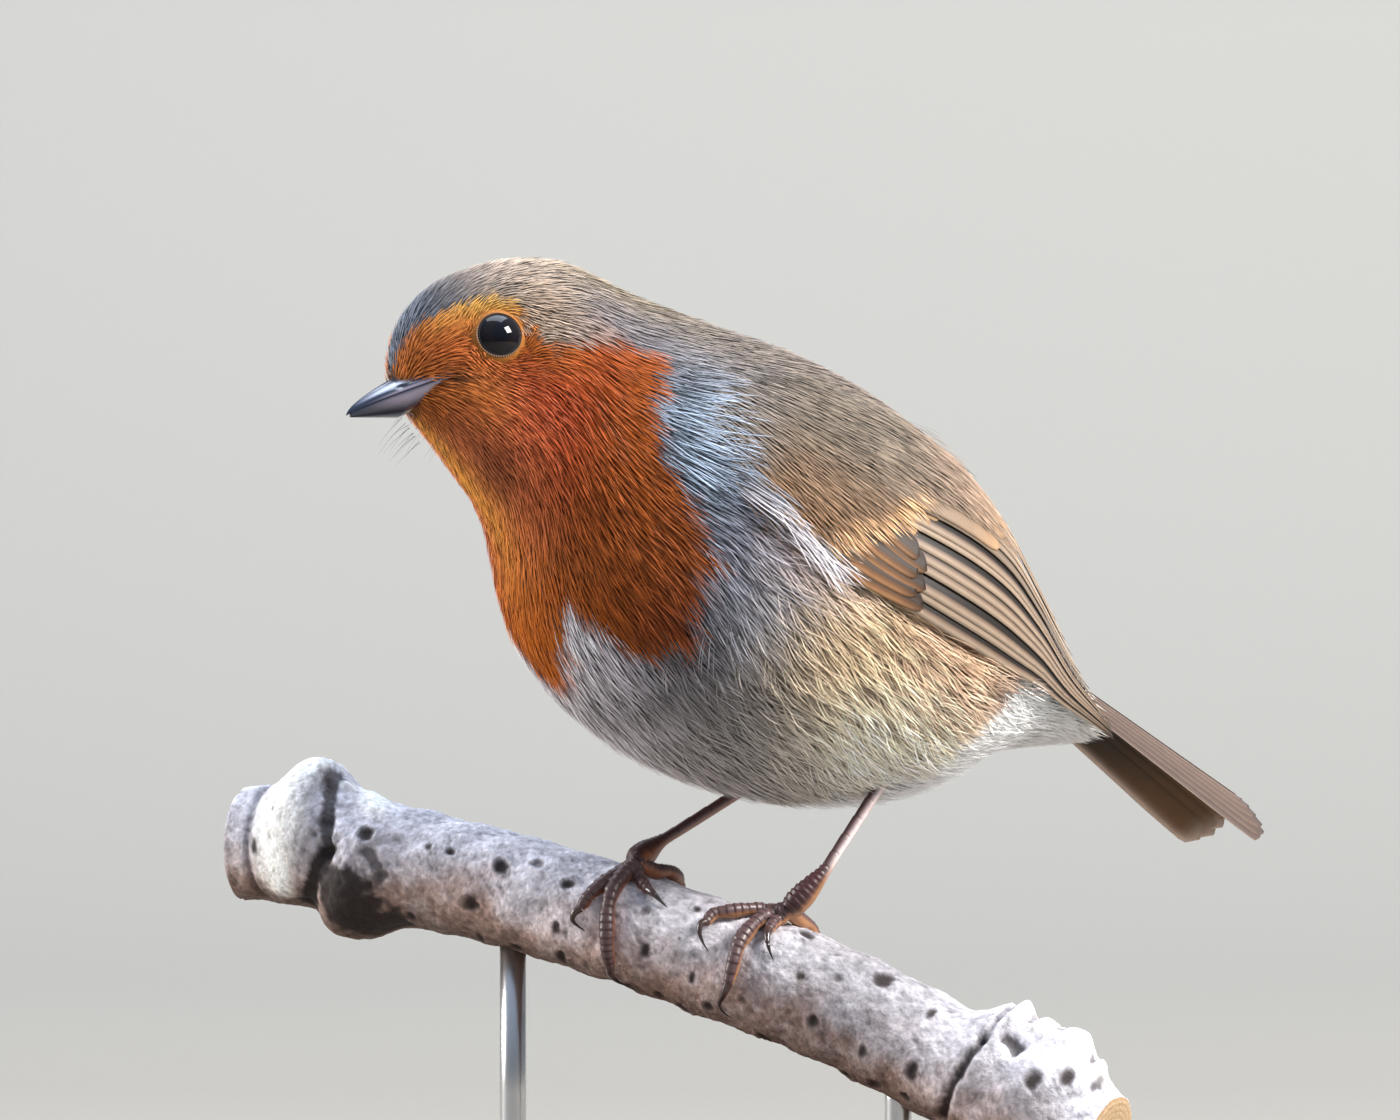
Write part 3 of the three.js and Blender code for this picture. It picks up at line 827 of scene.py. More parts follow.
@dataclass(frozen=True)
class Cut:
    """How one kind of tuft is cut, in millimetres and degrees.

    A tuft is a small feather: barbs leave its shaft one after another on either side. Cover is how many
    barbs lie over a place, fan how far the outer ones turn aside, reach the share of the shaft that they
    root on and pitch the gap between two. Sink is how deep they root below the coat's level, rise the
    lowest and highest their tips stand over it, loose and curve how far tufts and barbs stray, tone the
    shade at root and tip, and gain that of the lowest and highest barb. Gain is a painted shade and
    light: barbs that stand low in the coat are darker and those on top lighter.
    """

    length: float
    cover: float
    width: float = 0.13
    barbs: int = 4
    fan: float = 6.0
    reach: float = 0.0
    pitch: float = 0.34
    steps: int = 3
    sink: float = 0.6
    rise: tuple[float, float] = (0.0, 0.4)
    loose: float = 4.0
    curve: float = 0.05
    tone: tuple[float, float] = (0.6, 1.1)
    # gain: a painted shade and light, darker for barbs low in the coat and lighter for those on top.
    gain: tuple[float, float] = (0.8, 1.5)


def bearings(t: Array, turn: Array, at: float, down: float) -> tuple[Array, Array, Array]:
    """How a place lies from the place (at, down) on the same side of the body.

    Args:
        t: shares of the way along.
        turn: angles from the back.
        at: the t of the place measured from.
        down: its angle from the back in radians, without a sign.

    Returns:
        The gap back and down, measured where it starts, and the distance.
    """
    side = np.where(turn < 0, -1.0, 1.0)
    middle = LOFT.point(np.full(side.shape, at), side * down)
    along, around = LOFT.slopes(np.full(side.shape, at), side * down)
    ahead, out = unit(along), unit(np.cross(along, around))
    gap = LOFT.point(t, turn) - middle
    across = np.cross(out, ahead) * side[..., None]
    return dot(gap, ahead), dot(gap, across), np.sqrt(dot(gap, gap))


def body_lie(t: Array, turn: Array) -> Array:
    """The way feathers lie, in radians from straight back towards the belly.

    Round the eye they part as a stream parts round a post: the pull is 1.05 - q cos 2a back and -q sin 2a
    down, where q is the post's radius over the distance, squared, and a the bearing from the post.

    Args:
        t, turn: places on the body.

    Returns:
        One angle for each place.
    """
    down = np.degrees(np.abs(turn))
    cheek = soft(down, 55, 90) * (1 - soft(t, 0.42, 0.55))
    band = bump(t, 0.46, 0.07) * bump(down, 78, 18)
    flank = soft(t, 0.43, 0.56) * bump(down, 114, 34) * (1 - soft(t, 0.76, 0.86))
    lie = np.radians(17 * cheek - 12 * band + 24 * flank) * np.sin(np.radians(down)) ** 0.5
    lie = lie + np.radians(8) * wander(t * 40, turn * 5, 1.3) * soft(t, 0.3, 0.6)
    x, y, distance = bearings(t, turn, EYE_AT, EYE_DOWN)
    bearing = np.arctan2(y, x)
    post, least = 3.6, 2.4
    q = np.clip((post / np.maximum(distance, least)) ** 2, 0, 1)
    near = 1 - soft(distance, 5.0, 9.0)
    return lie + near * np.arctan2(-q * np.sin(2 * bearing), 1.05 - q * np.cos(2 * bearing))


def clear(t: Array, turn: Array) -> Array:
    """1 where a tuft may root: away from the eyes, the gape and the ground under the wings.

    Args:
        t, turn: places on the body.

    Returns:
        1 or 0 for each place.
    """
    eye_room, gape_room, gape_end, wing_depth = 3.0, 0.5, -39.2, 4
    distance = bearings(t, turn, EYE_AT, EYE_DOWN)[2]
    place = LOFT.point(t, turn)
    seam = BILL.seam(place[..., 0])
    apart = np.abs(place[..., 2] - seam) > gape_room * soft(gape_end - place[..., 0], 0, 2)
    return (distance > eye_room) * apart * (wing_cover(t, turn) < wing_depth)


@dataclass(frozen=True)
class Zone:
    """A stretch of the body, by its ends along and round it, with soft edges, on one side or both."""

    start: float = -1.0
    end: float = 2.0
    upper: float = -90.0
    lower: float = 270.0
    blur: float = 0.02
    side: Side | None = None

    def share(self, t: Array, turn: Array) -> Array:
        """How much of a place is inside, 0 to 1: smooth steps at the four ends, multiplied together.

        Args:
            t, turn: places on the body.

        Returns:
            One share for each place.
        """
        down = np.degrees(np.abs(turn))
        b, c = self.blur, 4.0
        along = soft(t, self.start - b, self.start + b) * (1 - soft(t, self.end - b, self.end + b))
        below = soft(down, self.upper - c, self.upper + c)
        around = below * (1 - soft(down, self.lower - c, self.lower + c))
        return along * around * (self.side is None or np.sign(turn) == self.side.value)


@dataclass
class Coat:
    """A stretch of plumage: where its tufts root, how they are cut and what colours them.

    Lift raises its level over the body's outer shape, and lean turns the way it lies, in degrees.
    """

    name: str
    slot: str
    zone: Zone
    cuts: tuple[Cut, ...]
    seed: int
    lift: float = 0.0
    lean: float = 0.0

    def density(self, t: Array, turn: Array) -> Array:
        """How thickly tufts root at places, 0 to 1."""
        return self.zone.share(t, turn) * clear(t, turn)

    def lie(self, t: Array, turn: Array) -> Array:
        """The way tufts lie, in radians from straight back towards the belly."""
        return body_lie(t, turn) + np.radians(self.lean)

    def height(self, t: Array, turn: Array) -> Array:
        """The coat's level over the body's outer shape, in millimetres."""
        return np.full(np.shape(t), self.lift)

    def size(self, t: Array, turn: Array) -> Array:
        """A tuft's length as a share of its cut's."""
        return np.ones(np.shape(t))

    def tint(self, t: Array, turn: Array) -> Array:
        """A tuft's colour."""
        return PLUMAGE.colour(t, turn)

    def roots(self, cut: Cut, shift: int) -> tuple[Array, Array]:
        """Even places on the body, as many as the cut's cover needs.

        A golden-ratio sequence of pairs is bent to the area and density of a fine table of cells: first
        to each row's share of the total, then to each cell's share of its row.

        Args:
            cut: how the tufts are cut.
            shift: where the sequence starts.

        Returns:
            Each root's t and turn.
        """
        rows, cols = 420, 360
        t = (np.arange(rows) + 0.5) / rows
        turn = ((np.arange(cols) + 0.5) / cols * 2 - 1) * np.pi
        tt, uu = np.meshgrid(t, turn, indexing="ij")
        along, around = LOFT.slopes(tt, uu)
        weight = np.linalg.norm(np.cross(along, around), axis=-1) * self.density(tt, uu) + 1e-9
        area = weight.sum() * 2 * np.pi / (rows * cols)
        filled = 0.6
        count = int(area * cut.cover / (cut.barbs * cut.length * cut.width * filled))
        by_row = np.concatenate([[0], np.cumsum(weight.sum(1))])
        n = np.arange(count)
        x = (0.5 + GOLDEN[0] * n + 0.013 * shift) % 1 * by_row[-1]
        y = (0.5 + GOLDEN[1] * n + 0.037 * shift) % 1
        row = np.clip(np.searchsorted(by_row, x) - 1, 0, rows - 1)
        part = (x - by_row[row]) / (by_row[row + 1] - by_row[row])
        by_cell = np.concatenate([np.zeros((rows, 1)), np.cumsum(weight, 1)], 1)
        by_cell /= by_cell[:, -1:]
        stacked = (by_cell + np.arange(rows)[:, None]).ravel()
        cell = np.clip(np.searchsorted(stacked, y + row) - 1 - row * (cols + 1), 0, cols - 1)
        low, high = by_cell[row, cell], by_cell[row, cell + 1]
        share = np.clip((y - low) / np.maximum(high - low, 1e-12), 0, 1)
        return (row + part) / rows, ((cell + share) / cols * 2 - 1) * np.pi

    def barbs(self, cut: Cut, size: Array, rng: np.random.Generator) -> tuple[Array, Array]:
        """Every barb's line in its tuft's own plane.

        A barb leaves the shaft at angle b and bends back towards it: at share s of its length l it is at
        l s cos(b(1 - s/2)) along the shaft and l s sin(b(1 - s/2)) aside, plus a sweep with s squared.

        Args:
            cut: how the tuft is cut.
            size: each tuft's length.
            rng: the numbers that vary it.

        Returns:
            How far along and aside, as (tuft, barb, step).
        """
        n, m = len(size), cut.barbs
        x = np.linspace(-1, 1, m) + rng.uniform(-0.25, 0.25, (n, m)) / m
        start = cut.reach * (1 - np.abs(x)) * size[:, None]
        length = size[:, None] * (1 - cut.reach * (1 - np.abs(x))) * (1 - 0.5 * cut.reach * np.abs(x))
        length = length * rng.uniform(0.75, 1.1, (n, m))
        angle = np.sign(x) * np.abs(x) ** 0.4 * np.radians(cut.fan) * rng.uniform(0.7, 1.2, (n, m))
        offset = x * cut.pitch * (m - 1) / 2
        s = np.linspace(0, 1, cut.steps + 1)
        bend = angle[..., None] * (1 - 0.5 * s)
        swept = cut.curve * (rng.normal(0, 1, (n, 1)) + 0.5 * rng.normal(0, 1, (n, m)))
        a = start[..., None] + length[..., None] * s * np.cos(bend)
        b = offset[..., None] + length[..., None] * (s * np.sin(bend) + swept[..., None] * s**2)
        return a, b

    def tufts(self, cut: Cut, shift: int) -> Sheet:
        """Every tuft of one cut as tapering ribbons.

        Each follows the body at a height that grows from below the coat as its share to the power 0.6.

        Args:
            cut: how the tufts are cut.
            shift: the key of their random numbers.

        Returns:
            The tufts, with tint and OFBake map.
        """
        rng = np.random.default_rng(SEED + shift)
        t, turn = self.roots(cut, shift)
        n, m, k = len(t), cut.barbs, cut.steps
        lie = (self.lie(t, turn) + np.radians(cut.loose) * rng.normal(0, 1, n))[:, None, None]
        along, around = LOFT.slopes(t, turn)
        ahead, out = unit(along), unit(np.cross(along, around))
        down = np.cross(out, ahead) * np.where(turn < 0, -1.0, 1.0)[:, None]
        a, b = self.barbs(cut, cut.length * self.size(t, turn) * rng.uniform(0.8, 1.15, n), rng)
        ahead_mm, down_mm = a * np.cos(lie) - b * np.sin(lie), a * np.sin(lie) + b * np.cos(lie)
        move = ahead[:, None, None] * ahead_mm[..., None] + down[:, None, None] * down_mm[..., None]
        pairs = ((along, along), (along, around), (around, around))
        g11, g12, g22 = (dot(p, q)[:, None, None] for p, q in pairs)
        by_t, by_turn = dot(move, along[:, None, None]), dot(move, around[:, None, None])
        det = g11 * g22 - g12**2
        dt, du = (by_t * g22 - by_turn * g12) / det, (by_turn * g11 - by_t * g12) / det
        rank = rng.random((n, m))
        high = cut.rise[0] + (cut.rise[1] - cut.rise[0]) * rank[..., None] ** 2
        s = np.linspace(0, 1, k + 1)
        level = self.height(t, turn)[:, None, None] - cut.sink + (cut.sink + high) * s**0.6
        here = LOFT.point(t[:, None, None] + dt, turn[:, None, None] + du)
        here = here + out[:, None, None] * level[..., None]

        forward = unit(np.gradient(here, axis=2))
        roll = rng.uniform(-0.5, 0.5, (n, m, 1, 1))
        flat = unit(np.cross(np.broadcast_to(out[:, None, None], here.shape), forward))
        across = flat * np.cos(roll) + np.cross(forward, flat) * np.sin(roll)
        wide = cut.width / 2 * (0.7 + 0.3 * np.sin(np.pi * s[:k])) * rng.uniform(0.75, 1.25, (n, m, 1))
        edges = across[:, :, :k, None] * wide[..., None, None] * np.array([[-1.0], [1.0]])
        body = here[:, :, :k, None] + edges
        points = np.concatenate([body.reshape(n, m, 2 * k, 3), here[:, :, k:]], 2)
        steps = [[2 * i, 2 * i + 1, 2 * i + 3, 2 * i, 2 * i + 3, 2 * i + 2] for i in range(k - 1)]
        pattern = np.array([i for row in steps for i in row] + [2 * k - 2, 2 * k - 1, 2 * k]).reshape(-1, 3)
        faces = (pattern[None] + (2 * k + 1) * np.arange(n * m)[:, None, None]).reshape(-1, 3)

        share = np.concatenate([np.repeat(s[:k], 2), [1.0]])
        tone = cut.tone[0] + (cut.tone[1] - cut.tone[0]) * share**0.8
        # Painted shade and light: a barb's rank sets both how high it stands and its gain, so low barbs are
        # darker and high ones lighter.
        gain = cut.gain[0] + (cut.gain[1] - cut.gain[0]) * rank
        even = 0.5 * PLUMAGE.bibbed(t, np.degrees(np.abs(turn)))
        gain = rng.lognormal(0, 0.07, (n, 1)) * gain ** (1 - even[:, None])
        root = self.tint(t + rng.normal(0, 0.004, n), turn + rng.normal(0, 0.02, n))
        colour = root[:, None, None] * gain[..., None, None] * tone[:, None]
        margin, span, size = 0.02, 0.95, 0.003
        patch = size * np.stack(np.broadcast_arrays((np.arange(m)[:, None] + 0.5) / m, share), -1)
        unwrap = margin + span * np.stack([turn / (2 * np.pi) + 0.5, np.clip(t, 0, 1)], -1)
        bake = (unwrap[:, None, None] + patch[None]).reshape(-1, 2)
        return Sheet(points.reshape(-1, 3), faces, np.clip(colour, 0, 0.95).reshape(-1, 3), bake)

    def build(self) -> bpy.types.Object:
        """Makes the piece from all its cuts."""
        sheet = Sheet.joined([self.tufts(cut, 10 * self.seed + k) for k, cut in enumerate(self.cuts)])
        return sheet.build(self.name, BARB.material(), self.slot)


@dataclass
class FaceCoat(Coat):
    """The head's plumage, whose tufts are smallest round the bill and the eyes."""

    def size(self, t: Array, turn: Array) -> Array:
        """A tuft's length as a share of its cut's."""
        distance = bearings(t, turn, EYE_AT, EYE_DOWN)[2]
        return 0.5 + 0.5 * soft(distance, 3.2, 8) * soft(t, 0.0, 0.12)


@dataclass
class EdgeCoat(Coat):
    """Feathers rooted so many degrees inside a folded wing's edge, or outside if negative."""

    inside: float = -4.0
    spread: float = 2.0

    def density(self, t: Array, turn: Array) -> Array:
        """How thickly tufts root at places, 0 to 1."""
        return self.zone.share(t, turn) * bump(wing_cover(t, turn), self.inside, self.spread)


@dataclass
class PlumeCoat(Coat):
    """Long barbs rooted along a line that all run to one tip."""

    line: tuple = ((0.487, 81.0), (0.575, 88.0))
    tip: tuple[float, float] = (0.612, 91.8)
    spread: float = 2.6
    colour: Colour = (0.68, 0.64, 0.68)

    def density(self, t: Array, turn: Array) -> Array:
        """How thickly tufts root at places, 0 to 1.

        Args:
            t, turn: places on the body.

        Returns:
            One share for each place.
        """
        (t0, down0), (t1, down1) = self.line
        middle = down0 + (down1 - down0) * (t - t0) / (t1 - t0)
        return self.zone.share(t, turn) * bump(np.degrees(np.abs(turn)), middle, self.spread)

    def lie(self, t: Array, turn: Array) -> Array:
        """The bearing of the tip."""
        x, y, _ = bearings(t, turn, self.tip[0], np.radians(self.tip[1]))
        return np.arctan2(-y, -x)

    def size(self, t: Array, turn: Array) -> Array:
        """A tuft's length as a share of its cut's: never much past the tip."""
        distance = bearings(t, turn, self.tip[0], np.radians(self.tip[1]))[2]
        return np.clip(distance / self.cuts[0].length, 0.2, 1)

    def tint(self, t: Array, turn: Array) -> Array:
        """White, and the body's own colour at the line's front end."""
        return mix(PLUMAGE.colour(t, turn), self.colour, soft(t, 0.485, 0.51))


@dataclass
class Body:
    """The bird's skin, darker than the plumage by its shade, and the plumage over it."""

    rings: int = 260
    sides: int = 200
    # shade: the skin is the plumage's colour times this, a painted shade seen in the gaps between barbs.
    shade: float = 0.3

    def depth(self, t: Array, turn: Array) -> Array:
        """How deep the skin lies: least on the face, and most on the body and under the wings.

        Args:
            t, turn: places on the body.

        Returns:
            Millimetres.
        """
        down = np.degrees(np.abs(turn))
        face = 0.75 + 0.6 * (1 - soft(down, 30, 60)) * soft(t, 0.05, 0.15)
        depth = face + (1.5 - face) * soft(t, 0.2, 0.34)
        depth = depth + 0.7 * soft(t, 0.4, 0.55)
        return depth + 0.7 * soft(wing_cover(t, turn), -2, 8)

    def skin(self) -> None:
        """One closed skin in place of head, neck, trunk and rump: the loft moved in by the coat's depth."""
        t = np.linspace(0.004, 0.998, self.rings)
        turn = np.linspace(-np.pi, np.pi, self.sides, endpoint=False)
        tt, uu = np.meshgrid(t, turn, indexing="ij")
        points = LOFT.raised(tt, uu, -self.depth(tt, uu))
        # The skin's darkened colour is a painted shade for the gaps between barbs.
        piece = closed(points, PLUMAGE.colour(tt, uu) * self.shade)
        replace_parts(piece.build("skin", DOWN.material(), "plumage_trunk"), "head", "neck", "trunk", "rump")

    def coats(self) -> list[Coat]:
        """The stretches of plumage, most of them dark and dense below with pale barbs over that.

        Returns:
            The coats in the order they are made.
        """
        # dark: the underlayers' gains, a painted shade seen between the barbs; bright: the gains of the
        # barbs on top, a painted light.
        dark, low, bright = (0.18, 0.54), (-0.35, -0.08), (0.9, 1.9)
        fine = (
            Cut(1.7, 1.9, 0.13, steps=2, sink=0.5, rise=low, gain=(0.15, 0.48)),
            Cut(2.4, 1.15, 0.095, 3, 5, 0.0, 0.3, 3, 0.5, (-0.02, 0.22), 3, 0.05, (0.42, 1.2), (0.9, 2.1)),
        )
        mid = (
            Cut(2.8, 1.9, 0.15, steps=2, rise=low, gain=dark),
            Cut(3.9, 1.1, 0.105, 3, 5, 0.0, 0.33, 4, 0.6, (0.0, 0.28), 3, 0.05, (0.5, 1.15), bright),
        )
        long = (
            Cut(3.4, 1.8, 0.15, steps=2, sink=0.8, rise=low, gain=dark),
            Cut(4.9, 1.1, 0.105, 4, 7, 0.1, 0.3, 4, 0.8, (0.0, 0.35), 4, 0.05, (0.5, 1.15), bright),
        )
        fluffy = (
            Cut(4.0, 1.9, 0.17, 5, 12, steps=2, sink=1.1, rise=(-0.5, -0.15), gain=(0.25, 0.5)),
            Cut(5.0, 0.9, 0.1, 6, 20, 0.2, 0.1, 3, 1.1, (-0.2, 0.1), 6, gain=(0.5, 0.95)),
            Cut(7.5, 1.15, 0.09, 10, 34, 0.3, 0.08, 5, 1.1, (0.1, 0.65), 11, 0.02, (0.7, 1.15), (1.1, 2.1)),
        )
        loose = (
            Cut(3.8, 1.8, 0.16, 5, 8, steps=2, sink=0.9, rise=(-0.4, -0.1), gain=(0.2, 0.5)),
            Cut(6.5, 1.0, 0.1, 5, 9, 0.15, 0.35, 5, 0.9, (0.0, 0.7), 6, 0.05, (0.6, 1.15), (1.1, 2.1)),
        )
        downy = (
            Cut(4.0, 2.4, 0.14, 6, 14, 0.2, 0.25, 3, 0.6, (-0.5, 0.2), 12, 0.12, (0.9, 1.1), (1.4, 2.0)),
        )
        plume = (
            Cut(6.0, 1.4, 0.2, 4, 4, steps=3, sink=0.5, rise=(-0.2, 0.0), loose=3, gain=(0.2, 0.4)),
            Cut(9.0, 1.1, 0.11, 5, 5, 0.1, 0.3, 6, 0.5, (0.2, 0.9), 6, 0.05, (0.7, 1.1), (0.85, 1.4)),
        )
        head, neck, trunk, rump = "plumage_head", "plumage_neck", "plumage_trunk", "plumage_rump"
        coats = [
            FaceCoat("coat_face", head, Zone(end=0.262), fine, 1),
            Coat("coat_neck", neck, Zone(0.255, 0.43), mid, 2),
            Coat("coat_breast", trunk, Zone(0.42, 0.57, 69), long, 3),
            Coat("coat_belly", trunk, Zone(0.54, 0.8, 136), fluffy, 4),
            Coat("coat_mantle", trunk, Zone(0.42, 0.8, lower=70), mid, 5),
            Coat("coat_rump", rump, Zone(0.8, 0.96, lower=84), loose, 6),
            Coat("coat_vent", rump, Zone(0.77, 0.95, 80), downy, 7, -0.2),
            Coat("coat_tail_root", rump, Zone(0.93, 0.995), (Cut(2.6, 2.0, 0.14, 5, 8, steps=2),), 8, -0.3),
        ]
        for side in Side:
            word, seed = side.word, 10 * (2 + side.value)
            flank = Zone(0.53, 0.775, 82, 141, 0.012, side)
            shoulder = Zone(0.415, 0.48, 54, 88, 0.01, side)
            front = Zone(0.487, 0.585, side=side, blur=0.006)
            edge = Zone(0.66, 0.83, side=side)
            coats += [
                Coat(f"coat_flank_{word}", trunk, flank, fluffy, seed, 0.15),
                Coat(f"coat_shoulder_{word}", trunk, shoulder, loose, seed + 1, 0.6, -4),
                PlumeCoat(f"coat_plume_{word}", trunk, front, plume, seed + 2, 1.0),
                EdgeCoat(f"coat_fringe_{word}", trunk, edge, loose[1:], seed + 3, 1.1, -12),
            ]
        return coats

    def build(self) -> None:
        """Makes the skin and every stretch of plumage."""
        self.skin()
        for coat in self.coats():
            coat.build()


# ---- Bill and eyes ----


@dataclass(frozen=True)
class Bill:
    """The bill's two halves, which meet at a seam that rises to the gape, and the bristles under it."""

    tip: tuple[float, float] = (-51.2, 104.7)
    gape: tuple[float, float] = (-40.0, 109.6)
    gape_half_width: float = 5.4
    culmen: float = 1.8
    depth: float = 3.2
    gap: float = 0.06
    bend: float = 0.85

    def seam(self, x: Array) -> Array:
        """The height where the halves meet: its rise goes as the share of length, to the power of bend."""
        share = np.clip((x - self.tip[0]) / (self.gape[0] - self.tip[0]), 0, 1)
        return self.tip[1] + (self.gape[1] - self.tip[1]) * share**self.bend

    def half(self, way: int) -> Sheet:
        """Half a bill, tip to gape: way 1 is the upper half and -1 the lower.

        Each ring is half an oval above a flat seam. Its half-width grows as share to the 1.1. The upper
        half's height grows as share to the 0.4 with a ridge along its middle; the lower's with the rise.

        Args:
            way: 1 or -1.

        Returns:
            The closed half.
        """
        share = np.linspace(0.003 if way > 0 else 0.05, 1, 90)[:, None]
        turn = circle(64)
        rise = (self.gape[1] - self.tip[1]) * share**self.bend
        wide = self.gape_half_width * share**1.1 + 0.35 * np.sin(np.pi * share)
        low = np.minimum(rise + 0.1, self.depth) * (1 - 0.6 * soft(share, 0.68, 1.0))
        high = self.culmen * share**0.4 if way > 0 else low
        arch = np.maximum(np.sin(turn), 0) ** 1.2
        ridge = 0.10 * bump(np.cos(turn), 0, 0.18) * (np.sin(turn) > 0) * (way > 0)
        nostril = 0.35 * bump(share, 0.53, 0.045) * bump(arch, 0.42, 0.16)
        nostril = nostril * (np.sin(turn) > 0) * (way > 0)
        x = self.tip[0] + (self.gape[0] - self.tip[0]) * share
        y = (wide - nostril) * np.cos(turn)
        z = self.seam(x) + way * (self.gap / 2 + (arch + ridge) * high)
        rings = np.stack(np.broadcast_arrays(x, y, z), -1)
        return closed(rings, self.horn(share, arch, way, nostril))

    def horn(self, share: Array, arch: Array, way: int, nostril: Array) -> Array:
        """Blue-black above and at the lower tip, mauve-grey along both sides of the seam.

        Args:
            share: shares of the way from tip to gape.
            arch: heights over the seam, as a share of the half's.
            way: 1 above the seam and -1 below it.
            nostril: how deep the nostril is.

        Returns:
            One colour for each point.
        """
        ink, mauve, painted_highlight = (0.012, 0.018, 0.04), (0.24, 0.21, 0.28), (0.42, 0.45, 0.6)
        reach = 0.24 if way > 0 else 0.5
        band = (1 - soft(arch, 0.5 * reach, 1.5 * reach)) * soft(share, 0.1, 0.6) * soft(arch, 0.0, 0.12)
        # sheen marks a painted highlight: a pale blue streak along the upper half.
        sheen = (way > 0) * bump(arch, 0.74, 0.13) * soft(share, 0.05, 0.4) * (1 - soft(share, 0.75, 0.95))
        streak = 1 + 0.12 * wander(share * 9, arch * 14, 2.0)
        colour = mix(mix(ink, mauve, np.clip(band, 0, 1)), painted_highlight, 0.8 * sheen) * streak[..., None]
        # The nostril's hollow is darkened: a painted shade.
        return colour * (1 - np.clip(nostril * 2.4, 0, 0.9))[..., None]

    def bristles(self) -> Sheet:
        """Fine hairs at the gape and chin, each a ribbon that tapers as it curves forward and down.

        Returns:
            The hairs.
        """
        rng = np.random.default_rng(SEED + 90)
        count, steps = 22, 8
        side = np.where(np.arange(count) % 2 == 0, -1.0, 1.0)
        place = rng.uniform(0, 1, count)
        root = np.stack([-44.2 + 5.5 * place, side * (1.2 + 3.0 * place), 105.8 - 4.6 * place], -1)
        length = rng.uniform(2.0, 4.6, count)
        away = unit(np.stack([
            -0.75 - 0.5 * rng.random(count),
            side * rng.uniform(0.05, 0.6, count),
            -1 + 0.5 * rng.random(count),
        ], -1))
        s = np.linspace(0, 1, steps)[None, :, None]
        fall = np.array([0.25, 0, -0.6]) * length[:, None, None] * 0.3
        path = root[:, None] + away[:, None] * s * length[:, None, None] + fall * s**2
        wide = np.cross(unit(np.gradient(path, axis=1)), np.array([0.35, 0.9, 0.1]))
        thickness, taper = 0.022, 0.85
        half = unit(wide) * (thickness * (1 - taper * s))
        points = np.stack([path - half, path + half], 2).reshape(count, -1, 3)
        faces = grid_faces(steps, 2)[None] + (2 * steps * np.arange(count))[:, None, None]
        tint = np.broadcast_to((0.03, 0.022, 0.016), (count * steps * 2, 3))
        return Sheet(points.reshape(-1, 3), faces.reshape(-1, 4), np.array(tint))

    def build(self) -> None:
        """Makes both halves and the bristles."""
        for way, name in ((1, "bill_upper"), (-1, "bill_lower")):
            piece = self.half(way).build(f"{name}_horn", HORN.material(), "bill")
            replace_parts(piece, name)
        self.bristles().build("bristles", BARB.material(), "plumage_head")


BILL = Bill()


